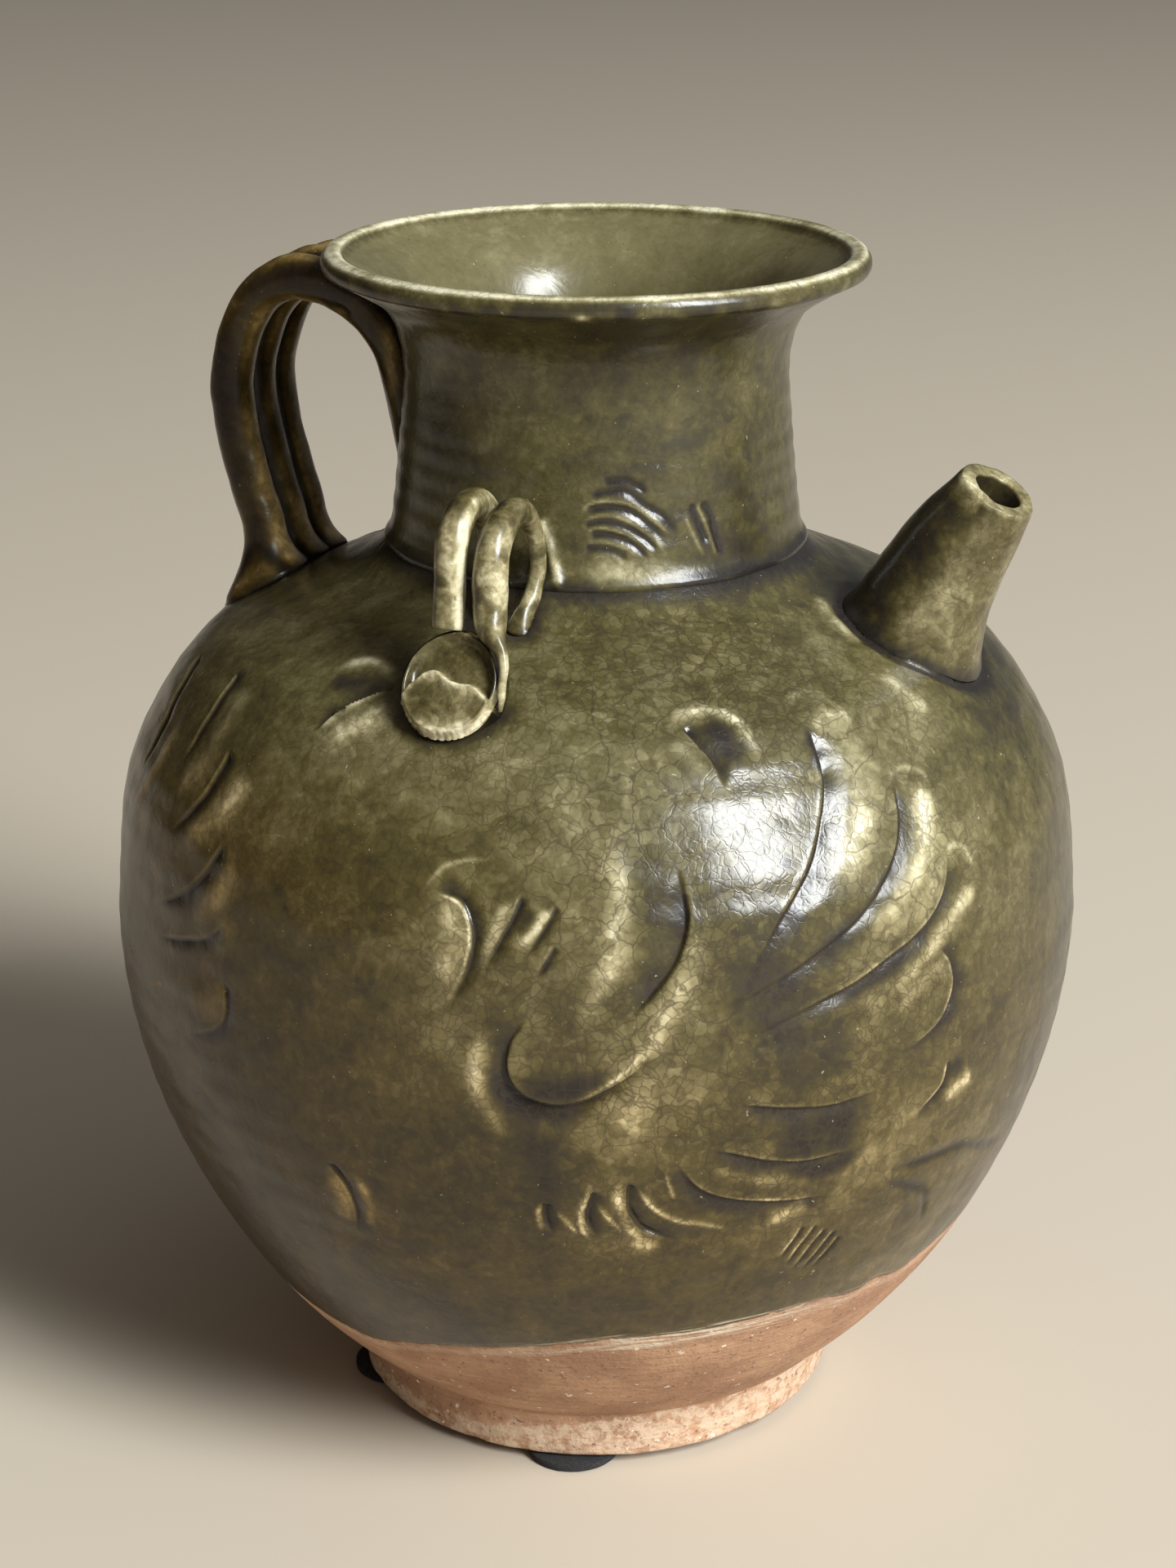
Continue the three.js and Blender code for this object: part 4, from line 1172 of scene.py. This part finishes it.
def feed(made, feeds):
    """Sets a node's inputs to numbers, or wires them to other nodes."""
    for name, value in feeds.items():
        if isinstance(value, Wire):
            value.tree.links.new(value.socket, made.inputs[name])
        else:
            made.inputs[name].default_value = value


def node(tree, kind, feeds=None, **settings):
    made = tree.nodes.new(kind)
    for name, value in settings.items():
        setattr(made, name, value)
    feed(made, feeds or {})
    return made


def wire(tree, kind, feeds=None, result=0, **settings):
    """Adds a node and gives back one of its outputs."""
    return Wire(tree, node(tree, kind, feeds, **settings).outputs[result])


def reckon(how, first, second):
    return wire(first.tree, "ShaderNodeMath", {0: first, 1: second}, operation=how)


def vector(how, first, second, result="Vector"):
    return wire(first.tree, "ShaderNodeVectorMath", {0: first, 1: second}, result, operation=how)


def fade_in(value, low, high, start=0.0, end=1.0):
    feeds = {"Value": value, "From Min": low, "From Max": high, "To Min": start, "To Max": end}
    return wire(value.tree, "ShaderNodeMapRange", feeds, interpolation_type="SMOOTHSTEP")


def blend(share, below, above, how="MIX"):
    """Mixes two colours, given as red, green and blue or as a node's output."""
    below, above = (c if isinstance(c, Wire) else (*c, 1) for c in (below, above))
    feeds = {0: share, 6: below, 7: above}
    return wire(share.tree, "ShaderNodeMix", feeds, 2, data_type="RGBA", blend_type=how)


def blend_numbers(share, below, above):
    return wire(share.tree, "ShaderNodeMix", {0: share, 2: below, 3: above}, data_type="FLOAT")


def speckle(place, size, detail=2.0, rough=0.5, warp=0.0, result=0):
    feeds = {"Vector": place, "Scale": 1 / size, "Detail": detail, "Roughness": rough, "Distortion": warp}
    return wire(place.tree, "ShaderNodeTexNoise", feeds, result)


def cells(place, size, result, feature="F1"):
    feeds = {"Vector": place, "Scale": 1 / size}
    return wire(place.tree, "ShaderNodeTexVoronoi", feeds, result, feature=feature)


def millimetres(tree):
    """The point's place on the piece, in millimetres."""
    spot = wire(tree, "ShaderNodeTexCoord", result="Object")
    return vector("MULTIPLY", spot, [1 / MM] * 3)


def attribute(tree, name):
    return wire(tree, "ShaderNodeAttribute", result="Fac", attribute_name=name, attribute_type="GEOMETRY")


def new_group(name, **takes):
    """A group that takes numbers and gives back a surface's colour, roughness and height."""
    group = bpy.data.node_groups.new(name, "ShaderNodeTree")
    for label, value in takes.items():
        socket = group.interface.new_socket(label, in_out="INPUT", socket_type="NodeSocketFloat")
        socket.default_value = value
    for label, kind in (("Colour", "Color"), ("Roughness", "Float"), ("Height", "Float")):
        group.interface.new_socket(label, in_out="OUTPUT", socket_type=f"NodeSocket{kind}")
    into = node(group, "NodeGroupInput")
    return group, [Wire(group, into.outputs[label]) for label in takes], node(group, "NodeGroupOutput")


def use_group(tree, group, feeds):
    """Adds a group to a material and gives back its colour, roughness and height."""
    made = node(tree, "ShaderNodeGroup", node_tree=group)
    feed(made, feeds)
    return [Wire(tree, made.outputs[label]) for label in ("Colour", "Roughness", "Height")]


# %% [markdown]
# ## Celadon glaze
# Celadon is a see-through glaze coloured by a little iron, so its colour tells its thickness:
# straw where it is thin on an edge, olive on the wall, dark grey-brown where it pools. It shrank
# more than the clay as it cooled and is covered by a fine net of cracks. The group mixes all of
# that from its masks, and gives back colour, roughness and a height for the bump.

# %% Glaze group
GLAZE_TONES = [(0.0, (0.62, 0.59, 0.43)), (0.12, (0.43, 0.40, 0.255)), (0.25, (0.24, 0.216, 0.118)),
               (0.40, (0.128, 0.113, 0.054)), (0.55, (0.072, 0.062, 0.023)), (0.70, (0.038, 0.033, 0.015)),
               (0.85, (0.022, 0.019, 0.014)), (1.0, (0.014, 0.012, 0.011))]
# WARM_FILTER browns the handle's glaze; on the pot's lower part and handle side it tints a painted warm
# reflection.
WARM_FILTER = (1.0, 0.66, 0.30)
CRACK_STAIN = (0.035, 0.024, 0.012)
IRON_SPOT, PALE_SPOT = (0.04, 0.025, 0.012), (0.6, 0.55, 0.4)
FINE_CELL, WIDE_CELL = 1.7, 6.5


def glaze_tone(thick):
    """The glaze's colour for its thickness."""
    tone = node(thick.tree, "ShaderNodeValToRGB", {0: thick})
    stops = tone.color_ramp.elements
    for position, colour in GLAZE_TONES[1:-1]:
        stops.new(position).color = (*colour, 1)
    for index in (0, -1):
        stops[index].color = (*GLAZE_TONES[index][1], 1)
    return Wire(thick.tree, tone.outputs[0])


def crack_lines(place, size, width):
    edge = cells(place, size, "Distance", "DISTANCE_TO_EDGE")
    return fade_in(edge, 0.0, width, 1.0, 0.0)


def make_glaze_group():
    group, (pool, thin, crease, thickness, warmth, mottle, crackle), out = new_group(
        "celadon_glaze", Pool=0.0, Thin=0.0, Crease=0.0, Thickness=0.5, Warmth=0.0, Mottle=0.1, Crackle=1.0)
    place = millimetres(group)
    cloud = speckle(place, 26, 3, 0.55)
    patch = speckle(place, 6, 3, 0.6, 0.6)
    grain = speckle(place, 1.3, 2, 0.6)
    drift = speckle(place, 1 / 0.35, result="Color")
    bend = vector("MULTIPLY", vector("SUBTRACT", drift, [0.5] * 3), [2.6] * 3)
    bent_place = vector("ADD", place, bend)
    cell = wire(group, "ShaderNodeSeparateColor", {0: cells(bent_place, FINE_CELL, "Color")})
    shown = fade_in(speckle(place, 17, 2), 0.36, 0.6, 0.35, 0.9)
    fine_lines = crack_lines(bent_place, FINE_CELL, 0.12) * shown
    cracks = reckon("MAXIMUM", fine_lines, crack_lines(bent_place, WIDE_CELL, 0.03)) * crackle

    mottling = (cloud - 0.5) * 1.2 + (patch - 0.5) + (grain - 0.5) * 0.5 + (cell - 0.5) * crackle * 0.28
    mottling = mottling * fade_in(crackle, 0.0, 0.3, 0.3, 1.0)
    # On some pieces the pool mask also carries painted shade, and the thin mask painted highlights.
    colour = glaze_tone(thickness + mottling * mottle + pool * 0.56 + crease * 0.5 - thin * 0.5)
    colour = blend(warmth, colour, WARM_FILTER, "MULTIPLY")
    colour = blend(cracks * 0.7, colour, CRACK_STAIN)
    colour = blend(fade_in(speckle(place, 0.55, 1), 0.71, 0.77, 0.0, 0.6), colour, IRON_SPOT)
    colour = blend(fade_in(speckle(bent_place, 0.7, 1), 0.77, 0.80, 0.0, 0.3), colour, PALE_SPOT)
    height = patch * 0.17 + grain * 0.014 + speckle(place, 11, 1) * 0.45 - cracks * 0.012
    feed(out, {"Colour": colour, "Roughness": patch * 0.18 + thin * 0.1 + 0.16, "Height": height})
    return group


celadon = make_glaze_group()
print("glaze group has", len(celadon.nodes), "nodes")

# %% [markdown]
# ## Bare clay
# Unglazed stoneware fires to a warm pink-brown with darker and lighter grit, and rubs to a pale
# cream where it is worn. Fine throwing scratches run round it.

# %% Clay group
DARK_CLAY, PALE_CLAY = (0.35, 0.19, 0.11), (0.50, 0.295, 0.175)
SCRATCH, RUBBED = (0.26, 0.14, 0.085), (0.62, 0.47, 0.335)
DARK_GRIT, PALE_GRIT = (0.12, 0.06, 0.04), (0.85, 0.78, 0.68)


def make_clay_group():
    group, (worn,), out = new_group("bare_stoneware", Worn=0.0)
    place = millimetres(group)
    grit = speckle(place, 1.2, 2, 0.7)
    drag = speckle(vector("MULTIPLY", place, (0.08, 0.08, 1.6)), 1.0, 3, 0.6)
    colour = blend(fade_in(speckle(place, 13, 4, 0.6), 0.35, 0.65), DARK_CLAY, PALE_CLAY)
    colour = blend(fade_in(drag, 0.4, 0.65, 0.0, 0.35), colour, SCRATCH)
    ragged = worn + (speckle(place, 2.6, 5, 0.75) - 0.5) * 1.4
    colour = blend(fade_in(ragged, 0.38, 0.60, 0.0, 0.85), colour, RUBBED)
    colour = blend(fade_in(grit, 0.62, 0.70, 0.0, 0.7), colour, DARK_GRIT)
    colour = blend(fade_in(speckle(place, 1.7, 2), 0.68, 0.74, 0.0, 0.8), colour, PALE_GRIT)
    height = grit * 0.22 + drag * 0.12 + speckle(place, 3, 3) * 0.2
    feed(out, {"Colour": colour, "Roughness": grit * 0.2 + 0.78, "Height": height})
    return group


stoneware = make_clay_group()
print("clay group has", len(stoneware.nodes), "nodes")

# %% [markdown]
# ## The jug's materials
# Body and neck share one glaze, with clay showing under its edge. The handle's glaze is browner,
# the lugs' and the spout's thinner and paler. The shader and its gloss stay in the material, and
# the groups only hand it colours, roughness and height.

# %% Materials
THIN_EDGE, CLAY_WASH, SCRAPED = (0.30, 0.20, 0.10), (0.62, 0.48, 0.36), (0.68, 0.60, 0.46)
FELT_DARK, FELT_PALE = (0.010, 0.010, 0.011), (0.045, 0.044, 0.046)


def new_material(name):
    material = bpy.data.materials.new(name)
    material.use_nodes = True
    return material, material.node_tree, material.node_tree.nodes["Principled BSDF"]


def surface(shader, colour, rough, height, depth=MM):
    """Gives a shader its colour and roughness, and its relief as a bump."""
    feeds = {"Height": height, "Distance": depth, "Strength": 1.0}
    bump = wire(height.tree, "ShaderNodeBump", feeds)
    feed(shader, {"Base Color": colour, "Roughness": rough, "Normal": bump})


def over_clay(tree, x, y, colour, rough, height):
    """Glaze that ends in a ragged line, with a wash and scratches across its edge."""
    line = attribute(tree, "above_line")
    ragged = line + (speckle(millimetres(tree), 3.5, 4, 0.65) - 0.5) * 2.4
    worn = fade_in(ragged, -11.0, -1.0, 0.2, 0.28)
    clay, clay_rough, clay_height = use_group(tree, stoneware, {"Worn": worn})
    glazed = fade_in(ragged, -0.12, 0.12)
    wash = fade_in(ragged, -3.4, -2.4) * fade_in(ragged, -0.6, -1.4)
    washed = blend(wash * 0.25, clay, CLAY_WASH)
    edged = blend(fade_in(ragged, 0.0, 1.2, 0.55, 0.0), colour, THIN_EDGE)
    across = reckon("ARCTAN2", y, x)
    streaks = wire(tree, "ShaderNodeCombineXYZ", {"X": line * 1.5, "Y": across * 6.0})
    streaks = fade_in(speckle(streaks, 1.0, 2, 0.6), 0.49, 0.57)
    near_edge = fade_in(line, -4.2, -2.8) * fade_in(line, 1.6, 0.6)
    scratched = streaks * near_edge * attribute(tree, "scored")
    colour = blend(scratched * 0.85, blend(glazed, washed, edged), SCRAPED)
    step = fade_in(ragged, -0.2, 0.7) * 0.45
    height = blend_numbers(glazed, clay_height, height) + step
    return colour, blend_numbers(glazed, clay_rough, rough), height


def make_glaze(name, thickness, warmth, mottle, shine=0.5, clay_below=False):
    material, tree, shader = new_material(name)
    feeds = {label: attribute(tree, label.lower()) for label in ("Pool", "Thin", "Crease", "Crackle")}
    if clay_below:
        place = node(tree, "ShaderNodeSeparateXYZ", {0: wire(tree, "ShaderNodeTexCoord", result="Object")})
        x, y, z = (Wire(tree, socket) for socket in place.outputs)
        # Painted reflection: the pot's glaze is warmed towards the bottom and on the handle's side, like
        # the glow of a warm floor.
        handle_side = fade_in(x, 0.03, -0.06, 0.0, 0.6) * fade_in(z, 0.15, 0.11)
        warmth = fade_in(z, 0.14, 0.05, warmth, warmth + 0.5) + handle_side
    feeds.update({"Thickness": thickness, "Warmth": warmth, "Mottle": mottle})
    colour, rough, height = use_group(tree, celadon, feeds)
    if clay_below:
        colour, rough, height = over_clay(tree, x, y, colour, rough, height)
    surface(shader, colour, rough, height)
    feed(shader, {"IOR": 1.45, "Specular IOR Level": shine})
    return material


pot_glaze = make_glaze("pot_celadon", 0.51, 0.05, 0.48, clay_below=True)
handle_glaze = make_glaze("handle_celadon", 0.58, 0.75, 0.6, shine=0.25)
spout_glaze = make_glaze("spout_celadon", 0.48, 0.15, 0.65)
lug_glaze = make_glaze("lug_celadon", 0.50, 0.15, 0.9)

foot_clay, tree, shader = new_material("foot_stoneware")
surface(shader, *use_group(tree, stoneware, {"Worn": attribute(tree, "worn")}))

felt, tree, shader = new_material("black_felt")
fibre = speckle(millimetres(tree), 0.35, 3, 0.7, 1.5)
surface(shader, blend(fade_in(fibre, 0.35, 0.7), FELT_DARK, FELT_PALE), 0.95, fibre, 0.3 * MM)
print("materials", [m.name for m in (pot_glaze, handle_glaze, spout_glaze, lug_glaze, foot_clay, felt)])


# %% [markdown]
# Each piece gets its finish, and the solids of the model that it stands for are hidden.

# %% Dress the pieces
def dress(piece, material, slot, *nodes):
    """Gives a piece its finish, hides the CAD nodes that it stands for, and gives it its ride on the jug.
    """
    piece.data.materials.clear()
    piece.data.materials.append(material)
    take(piece)
    bpy.ops.object.shade_smooth()
    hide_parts(*nodes)
    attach(piece, "root")
    triangles = sum(len(f.vertices) - 2 for f in piece.data.polygons)
    print(piece.name, len(piece.data.vertices), "points,", triangles, "triangles")


dress(body, pot_glaze, "pot_glaze", "body")
dress(neck, pot_glaze, "pot_glaze", "neck")
dress(foot, foot_clay, "bare_clay", "foot_ring")
dress(spout, spout_glaze, "spout_glaze", "spout")
for roll, name in zip(handle, ROLLS):
    dress(roll, handle_glaze, "handle_glaze", f"handle_roll_{name}")
for side, side_coils, side_button in (("near", coils, button), ("far", far_coils, far_button)):
    for coil, name in zip(side_coils, ("left", "right")):
        dress(coil, lug_glaze, "lug_glaze", f"lug_coil_{side}_{name}")
    dress(side_button, lug_glaze, "lug_glaze", f"lug_button_{side}")
for index, pad in enumerate(pads):
    dress(pad, felt, "pad_felt", f"foot_pad_{index + 1}")

# %% [markdown]
# ## Studio
# A plain pale floor, two panes of soft light where the photograph's window was, and a dim light
# from all round, cooler and brighter on the window's side.

# %% Floor and lights
FLOOR_COLOUR = (0.51, 0.445, 0.355)
WINDOW_PANES = {"left": ((0.733, -0.378, 0.578), 0.5), "right": ((0.777, -0.248, 0.578), 0.36)}
WINDOW_DISTANCE, WINDOW_HEIGHT, WINDOW_COLOUR = 2.6, 1.45, (0.96, 0.99, 1.0)
WINDOW_POWER = 138 / 0.86
VIEW_AHEAD = (-0.375, 0.927, 0.0)
LAMPLIT, DAYLIT = (1.0, 0.84, 0.64), (0.97, 0.99, 1.0)

let_go()
bpy.ops.mesh.primitive_plane_add(size=8, location=(0, 0, -0.0002))
floor = bpy.context.object
floor.name = "studio_floor"
floor_paint, tree, shader = new_material("studio_floor_paint")
feed(shader, {"Base Color": (*FLOOR_COLOUR, 1), "Roughness": 0.9})
floor.data.materials.append(floor_paint)


def window_pane(name, direction, width):
    """An upright area light that faces the jug's middle."""
    lamp = bpy.data.lights.new(name, "AREA")
    lamp.shape, lamp.size, lamp.size_y = "RECTANGLE", width, WINDOW_HEIGHT
    lamp.energy, lamp.color = WINDOW_POWER * width, WINDOW_COLOUR
    light = bpy.data.objects.new(name, lamp)
    bpy.context.collection.objects.link(light)
    direction = Vector(direction).normalized()
    light.location = Vector((0, 0, 0.1)) + direction * WINDOW_DISTANCE
    light.rotation_euler = direction.to_track_quat("Z", "Y").to_euler()


for side, (direction, width) in WINDOW_PANES.items():
    window_pane(f"window_{side}", direction, width)

world = bpy.data.worlds.new("studio_air")
bpy.context.scene.world = world
world.use_nodes = True
way = wire(world.node_tree, "ShaderNodeTexCoord", result="Generated")
rightward = vector("DOT_PRODUCT", way, VIEW_RIGHT, "Value")
onward = vector("DOT_PRODUCT", way, VIEW_AHEAD, "Value")
brightness = fade_in(rightward, -0.9, 0.8, 0.06, 0.5) * fade_in(onward, 0.0, 0.8, 1.0, 0.35)
tint = blend(fade_in(rightward, -0.6, 0.3), LAMPLIT, DAYLIT)
feed(world.node_tree.nodes["Background"], {"Color": tint, "Strength": brightness})
bpy.context.scene.view_settings.view_transform = "Standard"
